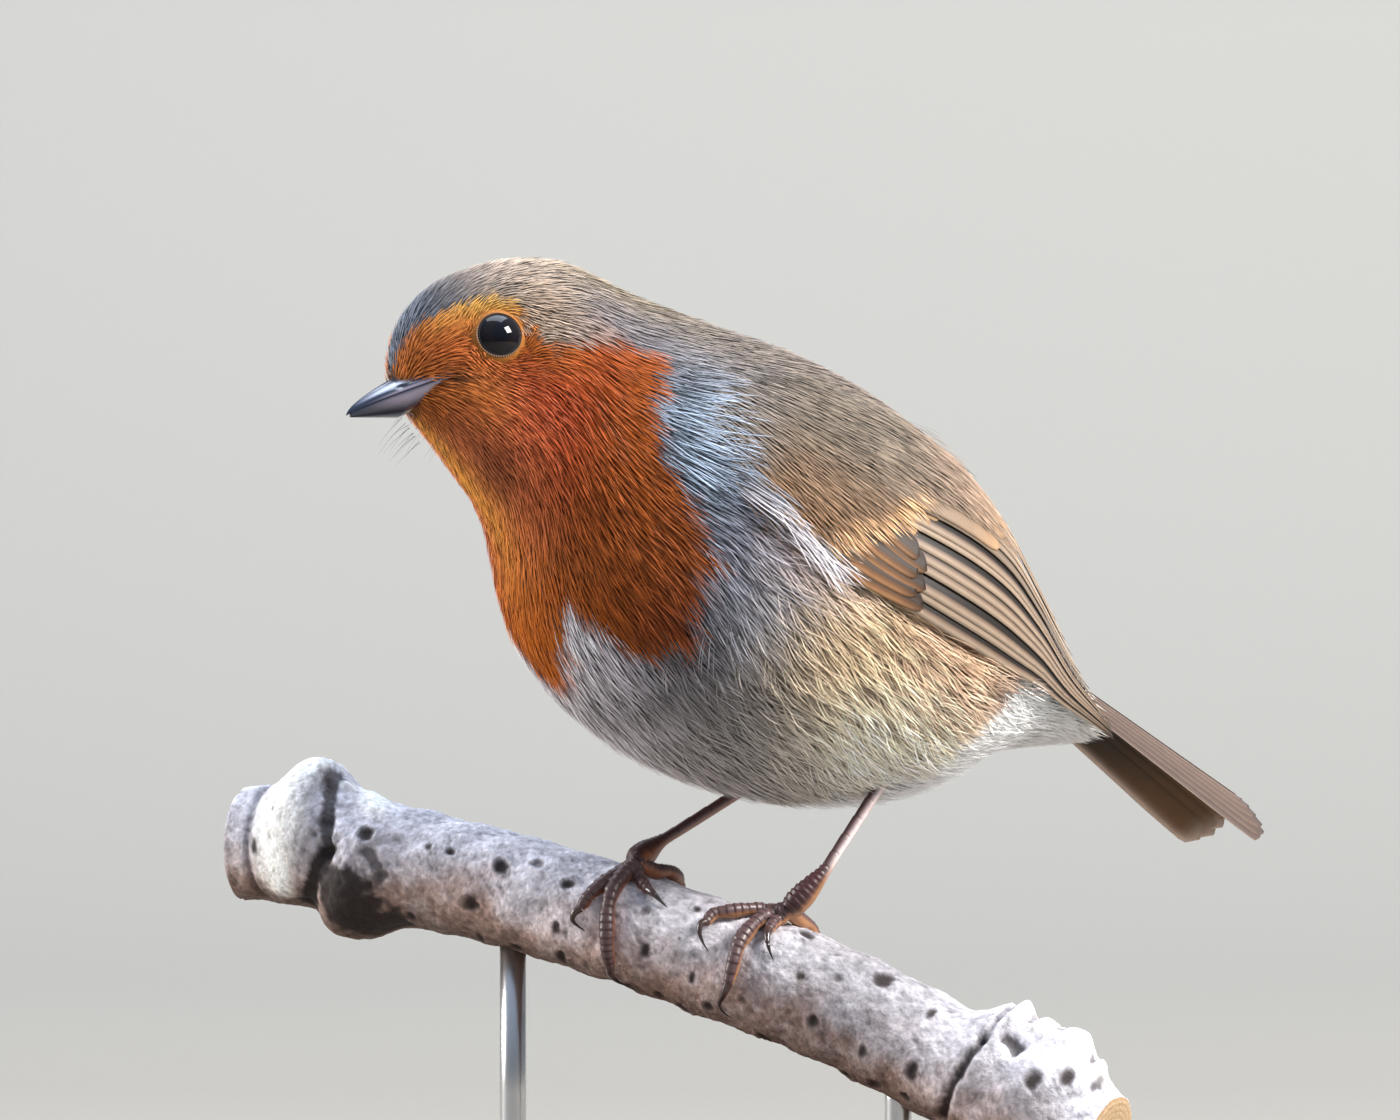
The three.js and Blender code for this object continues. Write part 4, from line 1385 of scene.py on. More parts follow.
@dataclass(frozen=True)
class Eye:
    """An eyeball in its socket, with lids whose rim is a broken ring of pale beads."""

    side: Side
    beads: int = 56

    def axes(self) -> tuple[Array, Array, Array, Array]:
        """The middle of the seen disc, and the directions out, back and down.

        Returns:
            The middle, out, back and down.
        """
        turn = np.array(self.side.value * EYE_DOWN)
        at = np.array(EYE_AT)
        along, around = LOFT.slopes(at, turn)
        out, back = unit(np.cross(along, around)), unit(along)
        return LOFT.point(at, turn), out, back, np.cross(out, back) * self.side.value

    def ball(self) -> Sheet:
        """A globe about the eye's axis, its middle as deep as its seen disc needs.

        Returns:
            The closed globe.
        """
        middle, out, back, down = self.axes()
        middle = middle - out * np.sqrt(EYE_RADIUS**2 - EYE_SEEN**2)
        polar = np.linspace(0.04, np.pi - 0.04, 40)[:, None, None]
        turn = circle(64)[None, :, None]
        spoke = back * np.cos(turn) + down * np.sin(turn)
        rings = middle + EYE_RADIUS * (out * np.cos(polar) + spoke * np.sin(polar))
        iris = soft(polar[..., 0], 0.3, 0.42) * (1 - soft(polar[..., 0], 0.62, 0.7))
        colour = mix((0.003, 0.003, 0.006), (0.007, 0.005, 0.006), np.broadcast_to(iris, rings.shape[:2]))
        return closed(rings, colour)

    def lids(self) -> Sheet:
        """A ring that rises from the ball: a dark rim, a row of pale beads, and skin under the feathers.

        The beads swell by the cosine of the turn times their number, raised to a power, and the ring drops
        with the square of the distance from the eye's middle, as the face does.

        Returns:
            The ring.
        """
        middle, out, back, down = self.axes()
        profile = np.array([
            (2.08, -0.1), (2.16, 0.05), (2.26, 0.15), (2.42, 0.2), (2.5, 0.18), (2.55, 0.12), (2.6, 0.16),
            (2.66, 0.2), (2.72, 0.18), (2.78, 0.1), (2.88, 0.04), (3.05, -0.05), (3.35, -0.3), (3.7, -0.9),
        ])
        turn = circle(6 * self.beads)[:, None]
        radius, high = profile[:, 0], profile[:, 1]
        swell = bump(radius, 2.66, 0.08) * (0.5 + 0.5 * np.cos(turn * self.beads)) ** 1.5
        high = high + 0.06 * swell - 0.035 * radius**2
        radius = radius * (1 + 0.02 * np.cos(2 * turn))
        spoke = back * np.cos(turn)[..., None] + down * np.sin(turn)[..., None]
        points = middle + spoke * radius[..., None] + out * high[..., None]
        low_front = 0.05 + 0.95 * soft(np.cos(turn - np.radians(120)), -0.5, 0.6)
        pale = np.clip(swell * low_front * (0.75 + 0.4 * wander(turn * 3, np.zeros_like(turn), 5.0)), 0, 1)
        base = mix((0.01, 0.007, 0.008), (0.32, 0.12, 0.022), soft(radius, 2.58, 2.8))
        colour = mix(base, (0.5, 0.38, 0.27), pale)
        flat = points.reshape(-1, 3)
        faces = grid_faces(len(turn) + 1, len(profile)) % len(flat)
        normal = np.cross(points[1, 3] - points[0, 3], points[0, 4] - points[0, 3])
        faces = faces if dot(normal, out) < 0 else faces[:, ::-1]
        return Sheet(flat, faces, colour.reshape(-1, 3))

    def build(self) -> None:
        """Makes the ball and the lids."""
        ball = self.ball().build(f"eye_{self.side.word}_ball", EYE.material(), "eye")
        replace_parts(ball, f"eye_{self.side.word}")
        self.lids().build(f"eyelid_{self.side.word}", LID.material(), "plumage_head")


# ---- Wings and tail ----


@dataclass
class Wing:
    """A folded wing: flight feathers in shingles that meet at its tip, with coverts over their roots.

    Low and high are the edges of its lowest and highest flight feather, from root to tip, as (t, degrees
    down); bar is the wing bar's rear edge as (degrees down, t).
    """

    side: Side
    low: tuple = ((0.59, 90), (0.66, 91), (0.73, 92.5), (0.80, 93.5), (0.88, 93), (0.95, 96), (1.012, 104))
    high: tuple = ((0.60, 50), (0.66, 46), (0.72, 42), (0.79, 40), (0.87, 42), (0.94, 52), (1.006, 82))
    flights: int = 14
    long_flights: int = 8
    overlap: float = 2.4
    thick: float = 0.07
    tip_power: float = 5.0
    bar: tuple = ((40, 0.71), (50, 0.70), (60, 0.678), (73, 0.649), (82, 0.62), (92, 0.606))

    def feather(
        self, outer: Array, inner: Array, high: Array, tint: Array, vane: tuple[float, float],
        rows: int = 26, cols: int = 7,
    ) -> Sheet:
        """A feather between two edges on the body, closed to a point at its tip.

        Args:
            outer: its outer edge as rows of (t, degrees down).
            inner: its inner edge in the same way.
            high: heights at the outer and inner edge, root and tip, as (2, 2).
            tint: colours at its root and tip.
            vane: the Vane map's across at the outer and inner edge.
            rows: points along it.
            cols: points across it.

        Returns:
            The feather, its width falling as a quarter circle over its last sixth.
        """
        s = np.linspace(0, 1, rows)[:, None]
        w = np.linspace(0, 1, cols)[None]
        end = np.clip((s - 0.84) / 0.16, 0, 1)
        w = 0.3 + (w - 0.3) * np.sqrt(np.clip(1 - end**2, 0.0004, 1))
        place = mix(outer[:, None], inner[:, None], w)
        turn = self.side.value * np.radians(place[..., 1])
        at_outer, at_inner = (root * (1 - s) + tip * s for root, tip in high)
        level = at_outer * (1 - w) + at_inner * w + 0.1 * bump(w, 0.35, 0.12)
        top = LOFT.raised(place[..., 0], turn, level)
        bottom = LOFT.raised(place[..., 0], turn, level - self.thick)
        colour = mix(tint[0], tint[1], np.broadcast_to(s**self.tip_power, w.shape))
        across = vane[0] + (vane[1] - vane[0]) * w
        return plate(top, bottom, colour, np.stack([across, np.broadcast_to(s, w.shape)], -1))

    def edge(self, v: float, end: float, rows: int = 26, start: float = 0.0) -> Array:
        """The line a share v of the way from the lowest flight feather's edge to the highest's."""
        s = np.linspace(start, end, rows)
        return np.array(through(self.low, s)) * (1 - v) + np.array(through(self.high, s)) * v

    def flight_feathers(self) -> tuple[list[Sheet], list[Sheet]]:
        """Primaries and secondaries, each lying over the inner web of the one below it.

        Returns:
            The primaries and the secondaries.
        """
        primaries, secondaries = [], []
        for k in range(self.flights):
            v = (k + 0.25 * np.sin(2.4 * k)) / (self.flights - 1)
            beyond = k + 1 - self.long_flights
            end = 1 - 0.01 * k if beyond < 1 else 0.92 - 0.035 * beyond
            outer = self.edge(v, end)
            inner = self.edge(v + self.overlap / (self.flights - 1), end)
            lift = 0.22 + 0.25 * soft(v, 0.5, 1)
            high = np.array([[lift + 0.3, lift + 1.0], [lift - 0.25, lift + 0.75]])
            # The dip round v = 0.62 is a painted shadow, cast by the tertials' edges on the upper
            # secondaries.
            shade = (1.0 + 0.1 * v) * (1 - 0.45 * bump(v, 0.62, 0.09))
            tint = np.array([[shade] * 3, [0.95 * shade] * 3])
            made = self.feather(outer, inner, high, tint, (0.0, 0.9 - 0.5 * float(soft(v, 0.5, 0.7))))
            (primaries if beyond < 1 else secondaries).append(made)
        return primaries, secondaries

    def coverts(self) -> list[Sheet]:
        """Greater coverts, whose tips end at the wing bar.

        Returns:
            The feathers, from the lowest.
        """
        made = []
        for k in range(10):
            down = 82 - 4.6 * k
            end = float(np.interp(down, *np.array(self.bar).T))
            s = np.linspace(0, 1, 16)
            t = end - (0.035 + 0.007 * k) * (1 - s)
            outer = np.stack([t, down + 5 * (1 - s)], -1)
            high = np.array([[0.2, 0.55], [0.1, 0.45]])
            tint = np.array([[1.0, 1.0, 1.0], [1.2, 1.15, 1.0]])
            made.append(self.feather(outer, outer - np.array([0.004, 8.5]), high, tint, (0.0, 0.8), 16, 6))
        return made

    def thumb(self) -> list[Sheet]:
        """Narrow dark feathers at the wing's lower edge, behind the bar, each overlapping the one below.

        Returns:
            The feathers, from the lowest.
        """
        made = []
        s = np.linspace(0, 1, 20)[:, None]
        count = 6
        for k in range(count):
            v = k / (count - 1)
            start = np.array([0.58 + 0.034 * v, 89.5 - 15.0 * v])
            end = np.array([0.671 - 0.012 * v + 0.004 * (-1) ** k, 90.8 - 12.0 * v])
            outer = start * (1 - s) + end * s + np.array([0, 0.8]) * np.sin(np.pi * s)
            high = np.array([[0.35, 0.88], [0.3, 0.8]]) + np.array([0.01, 0.04]) * k
            tint = np.array([[0.9, 0.72, 0.55], [0.3, 0.24, 0.21]]) * (1.1 - 0.3 * v)
            made.append(self.feather(outer, outer - np.array([0.002, 6.0]), high, tint, (0.0, 1.35), 20, 9))
        return made

    def tertials(self) -> list[Sheet]:
        """Three broad feathers over the upper flight feathers, each longer than the one below it.

        Returns:
            The feathers, from the lowest.
        """
        made = []
        for k in range(3):
            v, end = 0.64 + 0.13 * k, 0.4 + 0.03 * k
            outer, inner = self.edge(v, end, 24), self.edge(v + 0.24, end, 24)
            high = np.array([[0.6, 0.95 + 0.12 * k], [0.45, 0.8 + 0.12 * k]])
            tint = np.array([[0.65, 0.61, 0.57], [1.25, 1.0, 0.72]])
            made.append(self.feather(outer, inner, high, tint, (0.05, 0.3), 24, 11))
        return made

    def build(self) -> None:
        """Makes the wing's pieces in place of its three CAD nodes."""
        word = self.side.word
        primaries, secondaries = self.flight_feathers()
        made = {
            "primaries": (Sheet.joined(primaries), FLIGHT, "flight_feathers"),
            "secondaries": (Sheet.joined(secondaries + self.tertials()), FLIGHT, "flight_feathers"),
            "coverts": (Sheet.joined(self.coverts() + self.thumb()), COVERT, "wing_coverts"),
        }
        for part, (sheet, finish, slot) in made.items():
            piece = sheet.build(f"feathers_{word}_{part}", finish.material(), slot)
            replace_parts(piece, f"wing_{word}_{part}")
        # The dark underlayer is a painted shade between the coverts' barbs; the barbs over it grow lighter
        # with height, a painted light.
        under = Cut(2.8, 1.7, 0.16, 5, 5, steps=2, sink=0.4, rise=(-0.2, -0.02), gain=(0.2, 0.55))
        over = Cut(
            4.0, 1.15, 0.1, 3, 5, 0.0, 0.32, 4, 0.4, (0.0, 0.2), 2.5, 0.03, (0.45, 1.15), (0.95, 1.85)
        )
        zone = Zone(side=self.side)
        seed = 40 + self.side.value
        WingCoat(f"coat_coverts_{word}", "wing_coverts", zone, (under, over), seed, wing=self).build()


@dataclass
class WingCoat(Coat):
    """The small coverts and scapulars as tufts down to the wing bar."""

    wing: Wing | None = None

    def before_bar(self, t: Array, turn: Array) -> Array:
        """How far ahead of the wing bar's rear edge a place lies, in t."""
        return np.interp(np.degrees(np.abs(turn)), *np.array(self.wing.bar).T) - t

    def density(self, t: Array, turn: Array) -> Array:
        """How thickly tufts root at places: inside the wing's edges and ahead of the bar."""
        inside = self.zone.share(t, turn) * soft(wing_cover(t, turn), -9, 3)
        return inside * (self.before_bar(t, turn) > 0.035 - 0.1 * soft(-np.degrees(np.abs(turn)), -56, -48))

    def lie(self, t: Array, turn: Array) -> Array:
        """Coverts lie a little below straight back, in smooth drifts."""
        steep = 14 * soft(np.degrees(np.abs(turn)), 45, 76)
        return np.radians(8 + steep + 6 * wander(t * 30, turn * 4, 0.4))

    def height(self, t: Array, turn: Array) -> Array:
        """The wing's own thickness, which sinks to the body at its edges."""
        tertial = soft(t, 0.58, 0.66) * soft(-np.degrees(np.abs(turn)), -58, -50)
        return 0.85 * soft(wing_cover(t, turn), -6, 9) + 0.3 * tertial

    def tint(self, t: Array, turn: Array) -> Array:
        """Olive brown above, warmer towards the lower edge, and buff for the last rows before the bar.

        Args:
            t, turn: places on the body.

        Returns:
            One colour for each place.
        """
        down = np.degrees(np.abs(turn))
        colour = mix((0.158, 0.125, 0.094), (0.232, 0.133, 0.072), soft(down, 50, 82))
        colour = mix(colour, (0.19, 0.16, 0.14), soft(0.52 - t, 0, 0.05))
        colour = mix(colour, (0.28, 0.19, 0.135), soft(t, 0.59, 0.7) * soft(-down, -62, -48))
        last_rows = 1 - soft(self.before_bar(t, turn), 0.047, 0.056)
        buff = last_rows * soft(down, 54, 64) * (1 - soft(down, 84, 90))
        return mix(colour, (0.6, 0.36, 0.19), buff)


@dataclass
class Tail:
    """Twelve feathers in a shallow roof about a ridge, the middle pair on top, with a notch at the tip."""

    root: tuple[float, float] = (44.0, 76.0)
    tip: tuple[float, float] = (75.0, 57.4)
    half_width: tuple[float, float] = (5.2, 7.8)
    drop: tuple[float, float] = (3.2, 5.6)
    notch: float = 2.0
    roll: float = -3.0
    thick: float = 0.09

    def point(self, run: Array, across: Array, lift: Array) -> Array:
        """The place a run along the ridge, across shares of the half-width aside, and lift above the roof.

        The roof falls by the drop times the size of across to the 1.4, and is rolled about the ridge.

        Args:
            run: millimetres along the ridge.
            across: shares of the half-width, by side.
            lift: millimetres over the roof.

        Returns:
            Points.
        """
        ridge = np.array([self.tip[0] - self.root[0], 0, self.tip[1] - self.root[1]])
        length = np.linalg.norm(ridge)
        along = ridge / length
        above, aside = np.array([-along[2], 0, along[0]]), np.array([0, 1.0, 0])
        c, s = np.cos(np.radians(self.roll)), np.sin(np.radians(self.roll))
        above, aside = above * c - aside * s, aside * c + above * s
        share = run / length
        wide = self.half_width[0] + (self.half_width[1] - self.half_width[0]) * share
        fall = self.drop[0] + (self.drop[1] - self.drop[0]) * share
        high = lift - fall * np.abs(across) ** 1.4
        origin = np.array([self.root[0], 0, self.root[1]])
        return origin + along * run[..., None] + above * high[..., None] + aside * (across * wide)[..., None]

    def feather(self, k: int, side: Side) -> Sheet:
        """Feather k from the middle on one side: full width to its last tenth, which rounds off.

        Args:
            k: 0 for the middle pair up to 5.
            side: which side it is on.

        Returns:
            The closed feather.
        """
        length = np.hypot(self.tip[0] - self.root[0], self.tip[1] - self.root[1])
        rows, cols, outermost = 34, 9, 5
        s = np.linspace(0, 1, rows)[:, None]
        w = np.linspace(-1, 1, cols)[None]
        end = np.clip((s - 0.9) / 0.1, 0, 1)
        round_ = np.sqrt(np.clip(1 - end**2.4, 0.0004, 1))
        short = (self.notch * (1 - k / 3) if k < 3 else 0) + (0.9 if k == outermost else 0)
        run = np.broadcast_to(s * (length - short), (rows, cols))
        middle = (0.09 + 0.148 * k) * (0.85 + 0.15 * s)
        across = side.value * (middle + 0.2 * w * round_)
        across = np.where(np.abs(across) > 1, np.sign(across), across)
        lift = np.broadcast_to(0.12 - 0.13 * k - 0.1 * w, run.shape)
        top, bottom = self.point(run, across, lift), self.point(run, across, lift - self.thick)
        shade = 1.5 - 0.08 * k
        colour = np.broadcast_to(np.array([shade * 1.05, shade, 0.97 * shade]), top.shape)
        vane = np.stack(np.broadcast_arrays((1 - w) / 2, s), -1)
        made = plate(top, bottom, colour, vane)
        half = len(made.colour) // 2
        # Under the tail: the outermost feather's outer edge is painted light, a pale blue-white glow as if
        # lit through from behind; the outer feathers' tips are paler.
        pale = bump(w, 1, 0.4) * (k == outermost) + bump(s, 1, 0.05) * (k > 2)
        warm = mix((0.45, 0.38, 0.17), (2.4, 1.6, 0.55), soft(s, 0.3, 0.85) * np.ones(w.shape))
        under = mix(warm, (7.5, 8.5, 9.0), np.clip(pale, 0, 1))
        made.colour[half:] = under.reshape(-1, 3)
        return made

    def build(self) -> None:
        """Makes the fan in place of its CAD node."""
        feathers = [self.feather(k, side) for k in range(6) for side in Side]
        piece = Sheet.joined(feathers).build("feathers_tail", TAIL.material(), "tail_feathers")
        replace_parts(piece, "tail")


# ---- Perch, legs and stand ----


@dataclass(frozen=True)
class Perch:
    """A cut length of birch: a round branch along a falling line, with knots, lenticels and cut ends.

    The line is (run along the heading, height), and a knot is (run, spread, swelling, degrees round).
    """

    heading: tuple[float, float, float] = (0.6, -0.8, 0.0)
    line: tuple = (
        (-64, 53.4), (-52, 52.6), (-40, 50.6), (-27, 47.9), (-16, 44.9), (0, 40.0), (12, 36.0), (26, 29.8),
        (39, 23.4), (48.5, 18.4),
    )
    radius: float = 7.0
    knots: tuple = (
        (-54, 4.2, 3.6, 10), (-47, 5.0, 3.6, 150), (32.5, 2.6, 3.2, -10), (39, 4.6, 3.4, 10),
        (46, 4.6, 1.8, 120),
    )
    specks: int = 420
    far_spots: int = 40
    spots: tuple = (
        (-42.0, 99, 1.0, 1.0), (-44.7, 65, 0.9, 1.0), (-37.0, 60, 0.6, 0.6), (-34.3, 60, 0.7, 0.6),
        (-27.8, 61, 1.0, 0.9), (-23.5, 48, 1.0, 0.8), (-30.2, 107, 1.0, 1.4), (-19.0, 58, 0.8, 0.7),
        (-18.8, 104, 0.6, 1.0), (-7.4, 96, 0.6, 1.0), (-9.1, 58, 0.5, 0.7), (-38.4, 140, 0.7, 1.2),
        (-29.5, 154, 0.6, 1.4), (-24.6, 152, 0.7, 1.2), (-18.1, 141, 0.7, 1.2), (-15.0, 140, 0.5, 0.8),
        (-1.1, 108, 0.6, 1.1), (-5.6, 148, 0.5, 0.8), (-2.7, 159, 0.8, 1.2), (1.4, 132, 0.7, 1.0),
        (5.4, 111, 0.5, 0.5), (14.5, 104, 0.8, 1.1), (-3.9, 34, 0.5, 0.6), (8.6, 15, 1.0, 1.1),
        (11.1, 67, 0.5, 0.5), (14.9, 53, 0.6, 0.7), (18.8, 30, 1.3, 1.4), (25.7, 39, 0.6, 1.3),
        (27.0, 101, 0.8, 1.2), (21.0, 110, 0.6, 1.3), (23.1, 144, 0.8, 1.1), (19.3, 160, 0.8, 1.1),
        (27.2, 135, 1.0, 0.8), (39.6, 59, 0.8, 0.9), (41.9, 40, 0.8, 0.9), (44.4, 22, 0.5, 1.3),
        (-58.9, 90, 0.5, 0.7), (-48.8, 72, 0.5, 1.3), (-9.5, 160, 0.8, 1.3), (8.0, 155, 0.9, 1.2),
    )
    folds: tuple = (
        (-60.8, -60, -59.9, 160, 0.5, 0.5, 0.5), (-56.4, -40, -55.4, 120, 2.9, -0.8, 0.0),
        (-51.9, 10, -48.9, 85, 0.9, 1.0, 0.9), (-48.9, 85, -53.4, 160, 1.5, 1.3, 1.0),
        (-47.0, 112, -41.5, 158, 3.6, 0.4, 0.97), (-52.6, 16, -50.6, 20, 1.3, -0.8, 0.0),
        (-47.5, 6, -45.5, 30, 1.8, -0.7, 0.0), (-43.8, 78, -42.7, 89, 0.9, 0.3, 0.75),
        (31.9, -40, 32.6, 46, 0.4, 0.7, 0.6), (32.6, 46, 31.4, 140, 0.5, 1.0, 0.85),
        (33.4, -4, 34.0, 6, 1.0, -0.9, 0.0), (36.0, -8, 36.8, 4, 1.1, -0.8, 0.0),
        (39.6, -10, 40.4, 6, 1.2, -1.0, 0.0), (42.8, -6, 43.6, 10, 1.0, -0.8, 0.0),
        (33.3, 22, 41.0, 12, 0.55, -0.6, 0.2), (34.9, 38, 36.2, 40, 1.1, 0.9, 0.9),
        (34.9, -10, 35.0, 14, 0.35, 0.6, 0.6), (38.2, -10, 38.4, 10, 0.35, 0.6, 0.6),
        (41.8, -6, 42.0, 10, 0.35, 0.6, 0.6),
    )

    def middle(self, run: Array) -> Array:
        """The middle line at each run along the branch.

        Args:
            run: millimetres along the branch.

        Returns:
            Points.
        """
        line = np.array(self.line, float)
        share = np.interp(run, line[:, 0], np.arange(len(line)) / (len(line) - 1))
        height = through(line, share)[..., 1]
        rise = height[..., None] * np.array([0, 0, 1.0])
        return np.asarray(run, float)[..., None] * np.array(self.heading) + rise

    def swollen(self, run: Array, turn: Array) -> Array:
        """The bark's distance from the middle: the radius, a bell of swelling at each knot, a faint ripple.

        A knot's swelling is its bell along the run times (half of 1 plus the cosine of the turn from it)
        to the power 1.5. Turn is in degrees from the top towards the bird's front.

        Args:
            run, turn: places on the bark.

        Returns:
            Millimetres.
        """
        total = self.radius + 0.12 * np.sin(run * 0.9 + np.radians(turn * 3))
        for at, spread, swell, face in self.knots:
            facing = 0.5 + 0.5 * np.cos(np.radians(turn - face))
            total = total + swell * bump(run, at, spread) * facing**1.5
        return total

    def round(self, run: Array, turn: Array, out: Array) -> Array:
        """A point out from the middle line, turn degrees from the top towards the bird's front.

        Args:
            run, turn: places on the bark.
            out: millimetres from the middle line.

        Returns:
            Points.
        """
        along = unit(self.middle(run + 0.5) - self.middle(run - 0.5))
        ahead = np.broadcast_to(np.array([self.heading[1], -self.heading[0], 0]), along.shape)
        above = unit(np.cross(ahead, along))
        spin = np.radians(turn)[..., None]
        return self.middle(run) + np.asarray(out)[..., None] * (above * np.cos(spin) + ahead * np.sin(spin))

    def marks(self, run: Array, turn: Array, rough: Array) -> tuple[Array, Array]:
        """Dark ragged spots, more at random on the far side, and many small specks at random.

        A spot is (run, turn, half its length along the branch, half its width round it). With d2 the
        square of its roughened distance in halves, it darkens inside d2 of about 1 and its rim stands out.

        Args:
            run, turn: places on the bark.
            rough: a cloudy pattern that makes outlines ragged.

        Returns:
            How far the bark stands out there, and how dark it is, 0 to 1.
        """
        rng = np.random.default_rng(SEED + 60)
        lows, highs = (-58, -175, 0.5, 0.6), (46, -12, 1, 1.3)
        far = [rng.uniform(low, high, self.far_spots) for low, high in zip(lows, highs)]
        lows, highs = (-63, -180, 0.08, 0.1), (47, 180, 0.22, 0.3)
        small = [rng.uniform(low, high, self.specks) for low, high in zip(lows, highs)]
        large = np.concatenate([np.array(self.spots), np.stack(far, -1)])
        lift, dark = np.zeros(run.shape), np.zeros(run.shape)
        for k, (at, face, long, wide) in enumerate(np.concatenate([large, np.stack(small, -1)])):
            gap = ((turn - face + 180) % 360 - 180) * np.radians(self.radius)
            near = (((run - at) / long) ** 2 + (gap / wide) ** 2) * np.exp(0.9 * rough)
            strength = 1.0 - 0.25 * ((k * 7) % 5 == 0) if k < len(large) else 0.3 + 0.1 * (k % 5)
            lift = lift + 0.25 * soft(long, 0.3, 0.9) * (bump(near, 1.5, 0.9) - 0.8 * np.exp(-near))
            dark = np.maximum(dark, strength * (1 - soft(near, 0.1, 1.5)))
        return lift, dark

    def creased(self, run: Array, turn: Array, rough: Array) -> tuple[Array, Array]:
        """The knots' folds and lumps, each by the distance from a short line laid on the bark.

        A fold is (run, turn, run, turn, width, depth, darkness), from one end of its line to the other.
        With d the roughened distance in widths, it sinks by depth times e to the power of minus d2.

        Args:
            run, turn: places on the bark.
            rough: a cloudy pattern that makes outlines ragged.

        Returns:
            How deep each place lies, and how dark it is, 0 to 1.
        """
        deep, dark = np.zeros(run.shape), np.zeros(run.shape)
        swelling = 2
        spread = np.radians(self.radius + swelling)
        for r0, t0, r1, t1, width, depth, ink in self.folds:
            x, y, along, across = run - r0, (turn - t0) * spread, r1 - r0, (t1 - t0) * spread
            share = np.clip((x * along + y * across) / (along**2 + across**2), 0, 1)
            gap = np.hypot(x - share * along, y - share * across) / width
            near = bump(gap * np.exp(0.45 * rough), 0, 1)
            deep, dark = deep + depth * near, np.maximum(dark, ink * soft(near, 0.25, 0.65))
        return deep, dark

    def branch(self) -> Sheet:
        """The bark on a grid, and the cut ends as rings that shrink to the middle.

        Returns:
            The closed branch.
        """
        run = np.linspace(-63.5, 48, 385)[:, None]
        turn = np.linspace(-180, 180, 204, endpoint=False)[None]
        run, turn = np.broadcast_arrays(run, turn)
        spin = np.radians(turn)
        place = np.stack([run, self.radius * np.cos(spin), self.radius * np.sin(spin)], -1)
        broad, fine, grain = cloud(place, 6.0, 1), cloud(place, 1.6, 2), cloud(place, 0.6, 3, 2)
        lift, dark = self.marks(run, turn, fine)
        deep, fold = self.creased(run, turn, fine)
        bulk = self.swollen(run, turn) + lift - deep + 0.12 * broad + 0.1 * fine + 0.05 * grain - 0.1
        points = self.round(run, turn, bulk)
        # top is the bark's upper side and low its underside, for painted light and shade.
        top = soft(np.cos(spin) + 0.25 * broad, -0.7, 0.7)
        low = soft(-np.cos(spin) + 0.2 * fine, 0.42, 0.9)
        bark = mix((0.3, 0.2, 0.17), (0.45, 0.36, 0.35), soft(broad + 0.6 * fine, -0.7, 0.8))
        # Painted light on the upper side: paler and bluer.
        bark = mix(bark, (0.42, 0.42, 0.47), 0.85 * top)
        bark = bark * (1 - 0.38 * bump(run, 17, 9) + 0.2 * bump(run, -16, 8))[..., None]
        # Painted shade on the underside.
        bark = mix(bark, (0.105, 0.068, 0.052), 0.85 * low)
        # The knots' raised ridges are paler: partly the bark's own colour and partly painted light.
        bark = mix(bark, (0.8, 0.78, 0.75), np.clip(-1.2 * deep, 0, 0.95))
        bark = bark * (1.28 + 0.3 * fine + 0.45 * grain)[..., None]
        # Dark spots and specks are the bark's own marks; the dark in the knots' sunk creases is partly the
        # bark's own and partly painted shade.
        bark = mix(bark, (0.03, 0.022, 0.021), np.clip(0.97 * np.maximum(dark, fold), 0, 1))
        ends = [self.cut_end(points[k], way) for k, way in ((0, 1), (-1, -1))]
        rings = np.concatenate([ends[0][0], points, ends[1][0]])
        colour = np.concatenate([ends[0][1], np.clip(bark, 0.01, 0.9), ends[1][1]])
        return closed(rings, colour)

    def cut_end(self, rim: Array, way: int) -> tuple[Array, Array]:
        """Rings from the middle out to a rim, or from it inwards, tinted as growth rings.

        Args:
            rim: the bark's last ring.
            way: 1 for the first end and -1 for the last.

        Returns:
            The rings and their colours.
        """
        share = np.linspace(0.03, 0.985, 26)[::way][:, None, None]
        middle = rim.mean(0)
        along = np.array(self.heading) * -way * 0.35 * (1 - share**8)
        rings = middle + (rim - middle) * share + along
        growth = 0.5 + 0.5 * np.sin(share[..., 0] * 60)
        colour = mix((0.5, 0.36, 0.22), (0.36, 0.23, 0.13), np.broadcast_to(growth, rings.shape[:2]))
        return rings, colour

    def build(self) -> None:
        """Makes the branch in place of its CAD node."""
        piece = self.branch().build("perch_bark", BARK.material(), "birch_bark")
        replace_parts(piece, "perch_branch")


PERCH = Perch()


@dataclass(frozen=True)
class Toe:
    """A toe and its claw, as places (run, turn) along the perch and round it, and the toe's radius.

    A claw's places have a third number: how far its middle stands off the bark.
    """

    path: tuple[tuple[float, float], ...]
    claw: tuple[tuple[float, float, float], ...]
    radius: float


